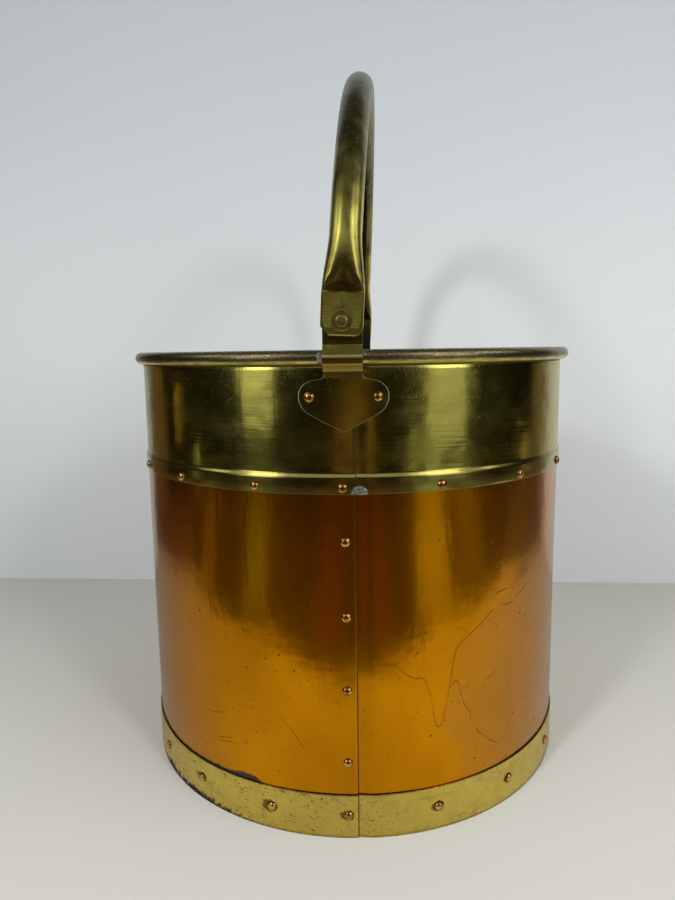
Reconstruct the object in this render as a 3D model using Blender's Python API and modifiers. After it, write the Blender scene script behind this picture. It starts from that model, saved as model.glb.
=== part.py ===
"""Coal bucket: a copper body with a brass collar and base band, and a tubular brass bail.

Metres, +Z up. The origin is on the floor, on the bucket's own axis. The lapped seam, the
line of seam rivets and the front bracket face -Y. The bail turns about a line along Y.
"""

import math

import bmesh
import bpy
from mathutils import Matrix, Vector

# Sheet metal
SHEET = 0.0007  # copper body, collar, base band and bottom plate
GAP = 0.0003  # between pieces that touch
BODY_RADIUS = 0.1496  # outer face of the copper body
SIDES = 48  # flats round each sheet
RING_RIVETS = 16  # round the collar and round the base band
# azimuths in degrees from the seam's rivet line of the hand-placed rivets that face the
# front; the rest are spaced evenly round the back
COLLAR_RIVETS_FRONT = (-63.8, -41.9, -19.8, -0.4, 21.0, 43.3, 67.2)
BASE_RIVETS_FRONT = (-57.7, -39.1, -17.9, 0, 20.9, 42.0, 63.1)

# Heights of the bucket
RIM_HEIGHT = 0.2855  # top of the rolled rim
BASE_BAND_HEIGHT = 0.0273
COLLAR_HEIGHT = 0.0784  # from the collar's lower edge to the top of the rim
COLLAR_LAP = 0.0091  # the stretch of the collar outside the copper
COLLAR_JOGGLE = 0.0022  # height over which the collar steps in above the copper
COPPER_TOP_CLEARANCE = 0.0010  # from the copper's top edge to the joggle
FLOOR_CLEARANCE = 0.0030  # under the copper body and the bottom plate's flange
BOTTOM_PLATE_HEIGHT = 0.0220
BOTTOM_PLATE_CORNER = 0.0020

# Rolled rim, with its wire
ROLL_DIAMETER = 0.0080
RIM_OVERHANG = 0.0054  # from the copper's face to the outside of the roll
ROLL_OFFSET_HEIGHT = 0.0050  # over which the wall leans in to the roll
ROLL_STEPS = 9
ROLL_START_ANGLE = math.radians(180)
ROLL_END_ANGLE = math.radians(-108)
WIRE_SIDES = 6

# Lapped seam: the left end lies over the right one
SEAM_LAP = 0.0056  # from the rivet line to the sheet's edge
SEAM_CLEARANCE = 0.0005
SEAM_JOGGLE = 0.0040
SEAM_RIVET_SHARES = (0.112, 0.360, 0.606, 0.849)  # of the copper between the two bands

# Rivets
RIVET_HEAD_RADIUS = 0.0026
RIVET_HEAD_HEIGHT = 0.0018
RIVET_SHANK_RADIUS = 0.0012
RIVET_TAIL_RADIUS = 0.0021
RIVET_TAIL_HEIGHT = 0.0008
RIVET_HOLE_CLEARANCE = 0.0003
RIVET_SIDES = 8
COLLAR_RIVET_RISE = 0.0035  # above the collar's lower edge
BASE_RIVET_SHARE = 0.542  # of the base band's height

# Brackets: shield plate, strap round the rim and flat ear
PIVOT_OFFSET = 0.0024  # brackets, seam and bail lie this far to +X of the axis
BRACKET_SHEET = 0.0012
STRAP_WIDTH = 0.0212
PLATE_WIDTH = 0.0488
PLATE_HEIGHT = 0.0296
PLATE_TOP_DROP = 0.0146  # from the top of the rim to the plate's shoulders
PLATE_TIP_WIDTH = 0.0010
PLATE_RIVET_SPACING = 0.0367
PLATE_RIVET_SHARE = 0.645  # of the plate's height, from its tip
STRAP_FOOT = 0.0013  # from the plate's shoulders to where the strap leaves the wall
# half widths of the shield, as shares of the plate's, at shares of its height
SHIELD_SHARES = (
    (0.190, 0.430),
    (0.381, 0.861),
    (0.498, 0.971),
    (0.646, 1.000),
    (0.808, 0.951),
    (0.911, 0.844),
    (0.969, 0.725),
)
# bends of the strap round the roll, as shares of the roll's cleared radius from its centre
STRAP_BEND_SHARES = ((0.953, -1.120), (1.070, -0.280), (1.010, 0.302))
EAR_STANDOFF = 0.0026  # from the copper's face out to the ear's inner face
EAR_FOOT_RISE = 0.0022  # from the top of the rim to the crease under the ear
EAR_TOP_RISE = 0.0075  # from the pivot to the ear's top
# how far the ear's corners are cut, as shares of its top rise and of the strap's width
EAR_CORNER_SHARES = ((0.60, 1.0), (0.87, 0.93), (1.0, 0.80))
BRACKET_COLUMNS = 8

# Bail: a tube with flattened ends
PIVOT_RISE = 0.0146  # above the top of the rim
BAIL_LEAN = math.radians(2.9)  # towards +X, as it stands
TUBE_DIAMETER = 0.0176
TUBE_WALL = 0.0014
TUBE_SIDES = 12
LUG_WIDTH = 0.0226
LUG_THICKNESS = 0.0044
LUG_BELOW_PIVOT = 0.0076
LUG_ABOVE_PIVOT = 0.0145
LUG_BLEND = 0.0330  # from the flat to the round tube
# half widths of the lug's rounded end, as shares, at shares of its drop below the pivot
LUG_END_SHARES = ((1.0, 0.74), (0.80, 0.90), (0.35, 1.0))
LUG_BLEND_SHARES = (0.0, 0.12, 0.26, 0.44, 0.68, 1.0)
ARC_RISE = 0.0039  # from the pivot to the centre of the bail's arc
ARC_STEPS = 8  # from the end of the blend to the top
PIVOT_PLAY = 0.0004  # between ear and lug
PIVOT_SHANK_RADIUS = 0.0020
PIVOT_HEAD_RADIUS = 0.00355
PIVOT_HEAD_HEIGHT = 0.0021
PIVOT_TAIL_RADIUS = 0.0032
PIVOT_TAIL_HEIGHT = 0.0012
PIVOT_SIDES = 12
WASHER_RADIUS = 0.0059
WASHER_THICKNESS = 0.0008

# Worked out from the sizes above
STEP = SHEET + GAP
BODY_MID = BODY_RADIUS - SHEET / 2
COLLAR_BOTTOM = RIM_HEIGHT - COLLAR_HEIGHT
COLLAR_STEP_BOTTOM = COLLAR_BOTTOM + COLLAR_LAP
COPPER_TOP = COLLAR_STEP_BOTTOM - COPPER_TOP_CLEARANCE
ROLL_RADIUS = ROLL_DIAMETER / 2
ROLL_CENTRE_RADIUS = BODY_RADIUS + RIM_OVERHANG - ROLL_RADIUS
ROLL_CENTRE_HEIGHT = RIM_HEIGHT - ROLL_RADIUS
WALL_TOP = ROLL_CENTRE_HEIGHT - ROLL_OFFSET_HEIGHT
PIVOT_HEIGHT = RIM_HEIGHT + PIVOT_RISE
EAR_INNER = BODY_RADIUS + EAR_STANDOFF
EAR_OUTER = EAR_INNER + BRACKET_SHEET
LUG_INNER = EAR_OUTER + PIVOT_PLAY
LUG_OUTER = LUG_INNER + LUG_THICKNESS
BAIL_RADIUS = LUG_INNER + LUG_THICKNESS / 2
SEAM_AZIMUTH = math.asin(PIVOT_OFFSET / BODY_RADIUS)
FACET = math.tau / SIDES
FLAT_SHARE = math.cos(FACET / 2)  # middle of a flat against its edge, from the axis
LAP_ANGLE = SEAM_LAP / BODY_RADIUS
LAP_CLEAR_ANGLE = LAP_ANGLE + SEAM_CLEARANCE / BODY_RADIUS
LAP_DIP_ANGLE = LAP_CLEAR_ANGLE + SEAM_JOGGLE / BODY_RADIUS
CUTTER_REACH = ROLL_DIAMETER


def new_collection(name):
    collection = bpy.data.collections.new(name)
    bpy.context.scene.collection.children.link(collection)
    return collection


def clear_scene():
    for thing in list(bpy.data.objects):
        bpy.data.objects.remove(thing)


clear_scene()
PARTS = new_collection("coal_bucket")
CUTTERS = new_collection("cutters")


def metal(name, color, roughness):
    material = bpy.data.materials.new(name)
    material.use_nodes = True
    shader = material.node_tree.nodes["Principled BSDF"]
    shader.inputs["Base Color"].default_value = (*color, 1)
    shader.inputs["Metallic"].default_value = 1
    shader.inputs["Roughness"].default_value = roughness
    material.diffuse_color = (*color, 1)
    return material


COPPER_COLOR = (0.62, 0.24, 0.06)
BRASS_COLOR = (0.50, 0.38, 0.10)
DARK_BRASS_COLOR = (0.22, 0.19, 0.06)
RIVET_COLOR = (0.55, 0.19, 0.06)
STEEL_COLOR = (0.30, 0.29, 0.27)


def object_of(name, bm, material, collection=PARTS):
    """An object from a bmesh, with its faces shaded smooth where they meet gently."""
    mesh = bpy.data.meshes.new(name)
    bm.to_mesh(mesh)
    bm.free()
    mesh.materials.append(material)
    mesh.shade_smooth()
    mesh.set_sharp_from_angle(angle=math.radians(35))
    made = bpy.data.objects.new(name, mesh)
    collection.objects.link(made)
    return made


def around(radius, azimuth, height):
    """A point of the bucket; azimuth 0 faces -Y and grows towards +X."""
    return Vector((radius * math.sin(azimuth), -radius * math.cos(azimuth), height))


def loft(sections, closed=False):
    """Open surface of quads through sections with equally many points."""
    bm = bmesh.new()
    columns = [[bm.verts.new(point) for point in section] for section in sections]
    following = columns[1:] + columns[:1] if closed else columns[1:]
    for column, after in zip(columns, following):
        for low, high, low_after, high_after in zip(column, column[1:], after, after[1:]):
            bm.faces.new((low, low_after, high_after, high))
    return bm


def thicken(made, thickness, offset):
    solidify = made.modifiers.new("thickness", "SOLIDIFY")
    solidify.thickness = thickness
    solidify.offset = offset
    solidify.use_even_offset = True


def cut(made, cutter):
    boolean = made.modifiers.new(cutter.name, "BOOLEAN")
    boolean.operation = "DIFFERENCE"
    boolean.solver = "EXACT"
    boolean.object = cutter


def as_cutter(name, bm):
    cutter = object_of(name, bm, metal(name, STEEL_COLOR, 0.5), CUTTERS)
    cutter.hide_render = True
    cutter.display_type = "WIRE"
    return cutter


def hole_cutter(name, places, radius, sides, middle):
    """Short radial pins, joined in one cutter, at (azimuth, height) places."""
    bm = bmesh.new()
    for azimuth, height in places:
        turn = Matrix.Rotation(azimuth, 4, "Z") @ Matrix.Rotation(math.pi / 2, 4, "X")
        bmesh.ops.create_cone(
            bm,
            cap_ends=True,
            segments=sides,
            radius1=radius,
            radius2=radius,
            depth=CUTTER_REACH,
            matrix=Matrix.Translation(around(middle, azimuth, height)) @ turn,
        )
    return as_cutter(name, bm)


# Sheets rolled round the bucket's axis


def lap_columns():
    """Azimuths from the seam's rivet line, from the inner end right round to the outer end."""
    inner_end = [-LAP_ANGLE, 0, LAP_ANGLE, LAP_CLEAR_ANGLE, LAP_DIP_ANGLE]
    first_flat = 1 + int(LAP_DIP_ANGLE / FACET - 0.5 + 0.25)
    flats = [(index + 0.5) * FACET for index in range(first_flat, SIDES - first_flat)]
    outer_end = [-LAP_DIP_ANGLE, -LAP_CLEAR_ANGLE, -LAP_ANGLE, 0, LAP_ANGLE]
    return inner_end + flats + [math.tau + azimuth for azimuth in outer_end]


def inner_dip(azimuth):
    """How deep the inner end lies, as a share of the sheet's step, at an unwrapped azimuth."""
    run = (LAP_DIP_ANGLE - azimuth) / (LAP_DIP_ANGLE - LAP_CLEAR_ANGLE)
    return min(1, max(0, run))


def rolled_sheet(name, rows, material, notches=()):
    """A sheet rolled into a ring with a lapped seam.

    rows: (radius of the middle of the sheet, height, whether the inner end dips there).
    notches: (first azimuth, last azimuth, lowest, highest) of corners cut from the blank.
    """
    columns = lap_columns()
    sections = []
    for azimuth in columns:
        dip = STEP * inner_dip(azimuth)
        sections.append(
            [
                around(radius - dip * dips, SEAM_AZIMUTH + azimuth, height)
                for radius, height, dips in rows
            ]
        )
    bm = loft(sections)
    bm.faces.ensure_lookup_table()
    bands = len(rows) - 1
    gone = []
    for index, face in enumerate(bm.faces):
        column, row = divmod(index, bands)
        azimuth = (columns[column] + columns[column + 1]) / 2
        height = (rows[row][1] + rows[row + 1][1]) / 2
        for first, last, lowest, highest in notches:
            if first < azimuth < last and lowest < height < highest:
                gone.append(face)
    bmesh.ops.delete(bm, geom=gone, context="FACES")
    made = object_of(name, bm, material)
    thicken(made, SHEET, 0)
    return made


def ring_places(front, height):
    """Where the rivets of a ring go: the hand-placed ones, then an even row round the back."""
    first, last = front[0] + 360, front[-1]
    gaps = RING_RIVETS - len(front) + 1
    back = [last + (first - last) * index / gaps for index in range(1, gaps)]
    return [(SEAM_AZIMUTH + math.radians(turn), height) for turn in (*front, *back)]


COLLAR_RIVET_HEIGHT = COLLAR_BOTTOM + COLLAR_RIVET_RISE
BASE_RIVET_HEIGHT = BASE_BAND_HEIGHT * BASE_RIVET_SHARE
COPPER_SHOWN = COLLAR_BOTTOM - BASE_BAND_HEIGHT
SEAM_RIVET_HEIGHTS = [BASE_BAND_HEIGHT + share * COPPER_SHOWN for share in SEAM_RIVET_SHARES]
PLATE_TIP_HEIGHT = RIM_HEIGHT - PLATE_TOP_DROP - PLATE_HEIGHT
PLATE_RIVET_HEIGHT = PLATE_TIP_HEIGHT + PLATE_RIVET_SHARE * PLATE_HEIGHT
PLATE_RIVET_XS = [PIVOT_OFFSET + side * PLATE_RIVET_SPACING / 2 for side in (-1, 1)]
FRONT_PLATE_PLACES = [
    (math.asin(x / BODY_RADIUS), PLATE_RIVET_HEIGHT) for x in PLATE_RIVET_XS
]
REAR_PLATE_PLACES = [(math.pi - azimuth, height) for azimuth, height in FRONT_PLATE_PLACES]
HOLE_RADIUS = RIVET_SHANK_RADIUS + RIVET_HOLE_CLEARANCE

collar_holes = hole_cutter(
    "collar_rivet_holes",
    ring_places(COLLAR_RIVETS_FRONT, COLLAR_RIVET_HEIGHT),
    HOLE_RADIUS,
    RIVET_SIDES,
    BODY_MID,
)
base_holes = hole_cutter(
    "base_rivet_holes",
    ring_places(BASE_RIVETS_FRONT, BASE_RIVET_HEIGHT),
    HOLE_RADIUS,
    RIVET_SIDES,
    BODY_MID,
)
seam_holes = hole_cutter(
    "seam_rivet_holes",
    [(SEAM_AZIMUTH, height) for height in SEAM_RIVET_HEIGHTS],
    HOLE_RADIUS,
    RIVET_SIDES,
    BODY_MID,
)
plate_holes = hole_cutter(
    "plate_rivet_holes",
    FRONT_PLATE_PLACES + REAR_PLATE_PLACES,
    HOLE_RADIUS,
    RIVET_SIDES,
    BODY_MID,
)


def copper_body():
    """The copper wall. The outer end is notched at both bands, whose inner ends lie there."""
    low_notch = BASE_BAND_HEIGHT + SEAM_CLEARANCE
    high_notch = COLLAR_BOTTOM - SEAM_CLEARANCE
    heights = (FLOOR_CLEARANCE, low_notch, high_notch, COPPER_TOP)
    outer_end = (math.tau - LAP_CLEAR_ANGLE, math.tau + LAP_ANGLE)
    made = rolled_sheet(
        "copper_body",
        [(BODY_MID, height, True) for height in heights],
        metal("copper", COPPER_COLOR, 0.22),
        ((*outer_end, 0, low_notch), (*outer_end, high_notch, COPPER_TOP)),
    )
    for cutter in (collar_holes, base_holes, seam_holes):
        cut(made, cutter)


def roll_rows():
    """The collar's top, from the foot of the lean round the wire, clear of the wall."""
    middle = ROLL_RADIUS - SHEET / 2
    rows = [(BODY_MID, WALL_TOP, False)]
    for index in range(ROLL_STEPS + 1):
        turned = ROLL_START_ANGLE + (ROLL_END_ANGLE - ROLL_START_ANGLE) * index / ROLL_STEPS
        radius = ROLL_CENTRE_RADIUS + middle * math.cos(turned)
        rows.append((radius, ROLL_CENTRE_HEIGHT + middle * math.sin(turned), False))
    return rows


def brass_collar():
    """Laps outside the copper, steps in above it and is rolled out round the rim wire."""
    step_top = COLLAR_STEP_BOTTOM + COLLAR_JOGGLE
    notch = WALL_TOP - ROLL_RADIUS / 2
    rows = [
        (BODY_MID + STEP, COLLAR_BOTTOM, True),
        (BODY_MID + STEP, COLLAR_STEP_BOTTOM, True),
        (BODY_MID, step_top, True),
        (BODY_MID, notch, True),
    ]
    made = rolled_sheet(
        "brass_collar",
        rows + roll_rows(),
        metal("collar_brass", BRASS_COLOR, 0.25),
        ((-LAP_ANGLE, LAP_CLEAR_ANGLE, notch, RIM_HEIGHT),),
    )
    cut(made, collar_holes)
    cut(made, plate_holes)


def rim_wire():
    """The wire that the rim is rolled round."""
    bpy.ops.mesh.primitive_torus_add(
        major_segments=SIDES,
        minor_segments=WIRE_SIDES,
        major_radius=ROLL_CENTRE_RADIUS,
        minor_radius=ROLL_RADIUS - SHEET - GAP,
        location=(0, 0, ROLL_CENTRE_HEIGHT),
        rotation=(0, 0, SEAM_AZIMUTH + FACET / 2),
    )
    made = bpy.context.object
    made.name = "rim_wire"
    made.data.name = "rim_wire"
    made.data.materials.append(metal("rim_wire", STEEL_COLOR, 0.5))
    for collection in list(made.users_collection):
        collection.objects.unlink(made)
    PARTS.objects.link(made)


def base_band():
    made = rolled_sheet(
        "base_band",
        [(BODY_MID + STEP, 0, True), (BODY_MID + STEP, BASE_BAND_HEIGHT, True)],
        metal("base_brass", BRASS_COLOR, 0.35),
    )
    cut(made, base_holes)


def bottom_plate():
    """A disc with a turned-down flange, pressed in where it passes the body's lap."""
    flange = BODY_MID - STEP
    top = BOTTOM_PLATE_HEIGHT - SHEET / 2
    corner = BOTTOM_PLATE_CORNER
    soft = corner * (1 - math.sqrt(0.5))
    profile = [
        (flange, FLOOR_CLEARANCE),
        (flange, top - corner),
        (flange - soft, top - soft),
        (flange - corner, top),
    ]
    ring = [a for a in lap_columns() if LAP_DIP_ANGLE <= a < math.tau - LAP_CLEAR_ANGLE / 2]
    ring += [math.tau - LAP_ANGLE, math.tau, math.tau + LAP_ANGLE, math.tau + LAP_CLEAR_ANGLE]
    ring = sorted(set(ring))
    sections = []
    for azimuth in ring:
        nearest = min(azimuth, abs(math.tau - azimuth))
        dip = STEP * inner_dip(nearest)
        sections.append(
            [around(radius - dip, SEAM_AZIMUTH + azimuth, height) for radius, height in profile]
        )
    bm = loft(sections, closed=True)
    bm.faces.new(list(bm.verts)[len(profile) - 1 :: len(profile)])
    made = object_of("bottom_plate", bm, metal("bottom_plate", DARK_BRASS_COLOR, 0.4))
    thicken(made, SHEET, 0)
    cut(made, base_holes)


# Rivets


def turned(name, profile, sides, material):
    """A solid turned about Z from (radius, height) points, listed from top to bottom."""
    mesh = bpy.data.meshes.new(name)
    points = [(radius, 0, height) for radius, height in profile]
    edges = [(index, index + 1) for index in range(len(points) - 1)]
    mesh.from_pydata(points, edges, [])
    made = bpy.data.objects.new(name, mesh)
    PARTS.objects.link(made)
    screw = made.modifiers.new("turned", "SCREW")
    screw.steps = sides
    screw.render_steps = sides
    screw.use_merge_vertices = True
    screw.merge_threshold = 0.00001
    mesh.materials.append(material)
    return made


def rivet_profile(head, shank, tail, grip):
    """Domed head on z = 0 outward, shank through the grip, upset tail; sizes (radius, height)."""
    head_radius, head_height = head
    tail_radius, tail_height = tail
    soft = math.sqrt(0.5)
    return [
        (0, head_height),
        (head_radius * soft, head_height * soft),
        (head_radius, 0),
        (shank, 0),
        (shank, -grip),
        (tail_radius, -grip),
        (0, -grip - tail_height),
    ]


def stand_out(made, azimuth, radius, height):
    """Turns a piece modelled along Z to point away from the bucket's axis."""
    made.location = around(radius, azimuth, height)
    made.rotation_euler = (math.pi / 2, 0, azimuth)


def rivets(prefix, places, outer, inner, material):
    """One rivet at each place, its head outside the outer face and its tail inside the inner."""
    grip = outer - inner + 2 * GAP
    profile = rivet_profile(
        (RIVET_HEAD_RADIUS, RIVET_HEAD_HEIGHT),
        RIVET_SHANK_RADIUS,
        (RIVET_TAIL_RADIUS, RIVET_TAIL_HEIGHT),
        grip,
    )
    for name, azimuth, height in places:
        made = turned(f"{prefix}_{name}", profile, RIVET_SIDES, material)
        stand_out(made, azimuth, outer + GAP, height)


def all_rivets():
    """Rings of rivets, the row down the seam and two on each bracket's plate."""
    material = metal("rivet_copper", RIVET_COLOR, 0.25)
    outer = BODY_RADIUS
    inner = BODY_RADIUS - SHEET
    rings = (
        ("collar_rivet", COLLAR_RIVETS_FRONT, COLLAR_RIVET_HEIGHT, inner),
        ("base_rivet", BASE_RIVETS_FRONT, BASE_RIVET_HEIGHT, inner - STEP),
    )
    for prefix, front, height, innermost in rings:
        for index, (azimuth, rise) in enumerate(ring_places(front, height)):
            place = [(f"{index + 1:02d}", azimuth, rise)]
            on_lap = abs(azimuth - SEAM_AZIMUTH) < LAP_ANGLE
            tail_face = innermost - STEP if on_lap else innermost * FLAT_SHARE
            rivets(prefix, place, outer + STEP, tail_face, material)
    seam = [
        (f"{index + 1}", SEAM_AZIMUTH, height)
        for index, height in enumerate(SEAM_RIVET_HEIGHTS)
    ]
    rivets("seam_rivet", seam, outer, inner - STEP, material)
    for side, plate_places in (("front", FRONT_PLATE_PLACES), ("rear", REAR_PLATE_PLACES)):
        places = [
            (name, *place) for name, place in zip(("left", "right"), plate_places)
        ]
        rivets(
            f"{side}_bracket_rivet",
            places,
            outer + GAP + BRACKET_SHEET,
            inner * FLAT_SHARE,
            material,
        )


# Brackets and bail


def pivot_cutter():
    """A long pin on the pivot line, which makes the holes in ears and lugs."""
    bm = bmesh.new()
    radius = PIVOT_SHANK_RADIUS + GAP
    bmesh.ops.create_cone(
        bm,
        cap_ends=True,
        segments=PIVOT_SIDES,
        radius1=radius,
        radius2=radius,
        depth=2 * (LUG_OUTER + CUTTER_REACH),
        matrix=Matrix.Rotation(math.pi / 2, 4, "X"),
    )
    cutter = as_cutter("pivot_holes", bm)
    cutter.location = (PIVOT_OFFSET, 0, PIVOT_HEIGHT)
    return cutter


def bracket_rows():
    """(radius of the inner face, height, half width, share of the wall's curve) up the strap."""
    half_plate = PLATE_WIDTH / 2
    half_strap = STRAP_WIDTH / 2
    wall = BODY_RADIUS + GAP
    shoulders = PLATE_TIP_HEIGHT + PLATE_HEIGHT
    rows = [(wall, PLATE_TIP_HEIGHT, PLATE_TIP_WIDTH / 2, 1)]
    for up, across in SHIELD_SHARES:
        rows.append((wall, PLATE_TIP_HEIGHT + up * PLATE_HEIGHT, across * half_plate, 1))
    rows.append((wall, shoulders, half_strap, 1))
    rows.append((wall, shoulders + STRAP_FOOT, half_strap, 1))
    cleared = ROLL_RADIUS + GAP
    for out, up in STRAP_BEND_SHARES:
        radius = ROLL_CENTRE_RADIUS + out * cleared
        rows.append((radius, ROLL_CENTRE_HEIGHT + up * cleared, half_strap, 1))
    rows.append((EAR_INNER, RIM_HEIGHT + EAR_FOOT_RISE, half_strap, 0))
    for up, across in EAR_CORNER_SHARES:
        rows.append((EAR_INNER, PIVOT_HEIGHT + up * EAR_TOP_RISE, across * half_strap, 0))
    return rows


def bracket(name, sideways, turn, pivot_holes):
    """One bracket, lofted at -Y and then turned to its side of the bucket."""
    sections = []
    for radius, height, half_width, curved in bracket_rows():
        section = []
        for index in range(BRACKET_COLUMNS + 1):
            x = sideways + half_width * (2 * index / BRACKET_COLUMNS - 1)
            sagged = radius - math.sqrt(radius * radius - x * x)
            section.append(Vector((x, -radius + curved * sagged, height)))
        sections.append(section)
    bm = loft(sections)
    bmesh.ops.reverse_faces(bm, faces=bm.faces)
    made = object_of(name, bm, metal(name, BRASS_COLOR, 0.25))
    made.rotation_euler.z = turn
    thicken(made, BRACKET_SHEET, 1)
    cut(made, plate_holes)
    cut(made, pivot_holes)


def leg_stations():
    """(distance up the leg from the pivot, half width, half thickness) from lug end to top."""
    half_lug = LUG_WIDTH / 2
    half_thick = LUG_THICKNESS / 2
    tube = TUBE_DIAMETER / 2
    stations = [
        (-drop * LUG_BELOW_PIVOT, across * half_lug, half_thick)
        for drop, across in LUG_END_SHARES
    ]
    for share in LUG_BLEND_SHARES:
        eased = share * share * (3 - 2 * share)
        along = LUG_ABOVE_PIVOT + share * LUG_BLEND
        across = half_lug + (tube - half_lug) * eased
        stations.append((along, across, half_thick + (tube - half_thick) * eased))
    start = LUG_ABOVE_PIVOT + LUG_BLEND
    top = ARC_RISE + BAIL_RADIUS * math.pi / 2
    for index in range(1, ARC_STEPS + 1):
        stations.append((start + (top - start) * index / ARC_STEPS, tube, tube))
    return stations


def tube_section(along, half_width, half_thick, side):
    """A flattened ring across the leg at a distance from the pivot; side -1 is the front leg."""
    turned_by = max(0, along - ARC_RISE) / BAIL_RADIUS
    outward = Vector((0, side * math.cos(turned_by), math.sin(turned_by)))
    centre = Vector((0, 0, min(along, ARC_RISE))) + BAIL_RADIUS * outward
    section = []
    for index in range(TUBE_SIDES + 1):
        angle = math.tau * (index % TUBE_SIDES + 0.5) / TUBE_SIDES
        flat = math.copysign(half_width - half_thick, math.cos(angle))
        across = flat + half_thick * math.cos(angle)
        section.append(centre + Vector((across, 0, 0)) + half_thick * math.sin(angle) * outward)
    return section


def bail_handle(axis, pivot_holes):
    stations = leg_stations()
    sections = [tube_section(*station, -1) for station in stations]
    sections += [tube_section(*station, 1) for station in reversed(stations[:-1])]
    bm = loft(sections)
    bmesh.ops.remove_doubles(bm, verts=bm.verts, dist=0.000001)
    made = object_of("bail_handle", bm, metal("bail_brass", BRASS_COLOR, 0.2))
    made.parent = axis
    thicken(made, TUBE_WALL, -1)
    cut(made, pivot_holes)


def pivot_washer(side, direction, axis, material):
    """A washer between the lug and the head of the pivot rivet."""
    hole = PIVOT_SHANK_RADIUS + GAP
    half = WASHER_THICKNESS / 2
    profile = [
        (hole, half),
        (WASHER_RADIUS, half),
        (WASHER_RADIUS, -half),
        (hole, -half),
        (hole, half),
    ]
    made = turned(f"{side}_pivot_washer", profile, PIVOT_SIDES, material)
    made.parent = axis
    made.location = (0, direction * (LUG_OUTER + GAP + half), 0)
    made.rotation_euler = (math.pi / 2, 0, 0)


def pivot_rivet(side, direction, material):
    """Runs through washer, lug and ear; its tail is upset inside the ear."""
    outer = LUG_OUTER + GAP + WASHER_THICKNESS
    profile = rivet_profile(
        (PIVOT_HEAD_RADIUS, PIVOT_HEAD_HEIGHT),
        PIVOT_SHANK_RADIUS,
        (PIVOT_TAIL_RADIUS, PIVOT_TAIL_HEIGHT),
        outer - EAR_INNER + 2 * GAP,
    )
    made = turned(f"{side}_pivot_rivet", profile, PIVOT_SIDES, material)
    made.location = (PIVOT_OFFSET, direction * (outer + GAP), PIVOT_HEIGHT)
    made.rotation_euler = (-direction * math.pi / 2, 0, 0)


def bail():
    """Both brackets, the bail on its axis, and the pivot hardware at each end."""
    pivot_holes = pivot_cutter()
    bracket("front_bracket", PIVOT_OFFSET, 0, pivot_holes)
    bracket("rear_bracket", -PIVOT_OFFSET, math.pi, pivot_holes)
    axis = bpy.data.objects.new("bail_axis", None)
    PARTS.objects.link(axis)
    axis.location = (PIVOT_OFFSET, 0, PIVOT_HEIGHT)
    axis.rotation_euler = (0, BAIL_LEAN, 0)
    bail_handle(axis, pivot_holes)
    material = metal("pivot_brass", BRASS_COLOR, 0.3)
    for side, direction in (("front", -1), ("rear", 1)):
        pivot_washer(side, direction, axis, material)
        pivot_rivet(side, direction, material)


copper_body()
brass_collar()
rim_wire()
base_band()
bottom_plate()
all_rivets()
bail()
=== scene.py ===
# %% [markdown]
# # A coal bucket in copper and brass
#
# A coal bucket is sheet metal all the way: a copper sheet rolled into a wall, a brass collar
# with a wired rim, a brass band round the foot, and a tube handle that swings on two straps.
# The packed CAD model says where every piece sits and what moves. Each piece is built again
# here with true curves, rounded edges and worn metal, in the same place.

# %% Load the frame
import math

import bmesh
import bpy
from mathutils import Matrix, Vector, noise


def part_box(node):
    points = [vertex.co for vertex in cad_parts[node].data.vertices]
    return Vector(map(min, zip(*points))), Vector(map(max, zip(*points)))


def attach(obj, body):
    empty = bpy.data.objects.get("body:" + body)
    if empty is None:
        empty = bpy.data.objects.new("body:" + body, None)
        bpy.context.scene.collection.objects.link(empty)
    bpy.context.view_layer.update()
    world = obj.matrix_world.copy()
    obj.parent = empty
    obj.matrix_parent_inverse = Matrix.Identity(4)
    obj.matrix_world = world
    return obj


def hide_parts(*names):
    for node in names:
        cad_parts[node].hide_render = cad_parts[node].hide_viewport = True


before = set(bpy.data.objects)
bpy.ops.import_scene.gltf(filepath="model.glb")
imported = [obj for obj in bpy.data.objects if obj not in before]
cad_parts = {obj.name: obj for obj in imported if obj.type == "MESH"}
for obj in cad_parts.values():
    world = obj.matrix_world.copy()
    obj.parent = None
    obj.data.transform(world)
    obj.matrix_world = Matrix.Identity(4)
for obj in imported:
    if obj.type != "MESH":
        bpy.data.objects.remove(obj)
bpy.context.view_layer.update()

# %% [markdown]
# The sizes below are the real ones, in metres, and are the same as in the part's source. The
# rim's reach is read from the frame, so that the smooth roll stays inside the solid one.

# %% Sizes of the sheets
SHEET = 0.0007  # thickness of the copper and brass
GAP = 0.0003
STEP = SHEET + GAP  # one sheet lying on another
BODY_RADIUS = 0.1496
BODY_MID = BODY_RADIUS - SHEET / 2
BAND_MID = BODY_MID + STEP
PIVOT_OFFSET = 0.0024  # seam, straps and handle lie this far to +X
SEAM_AZIMUTH = math.asin(PIVOT_OFFSET / BODY_RADIUS)
BAND_TOP = 0.0273
COLLAR_BOTTOM = 0.2071
COLLAR_STEP = 0.2162  # where the collar starts to step in
COLLAR_STEP_TOP = 0.2184
COPPER_BOTTOM = 0.0030
COPPER_TOP = 0.2152
RIM_HEIGHT = 0.2855
print("copper shown:", round(COLLAR_BOTTOM - BAND_TOP, 4), "m")

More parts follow.
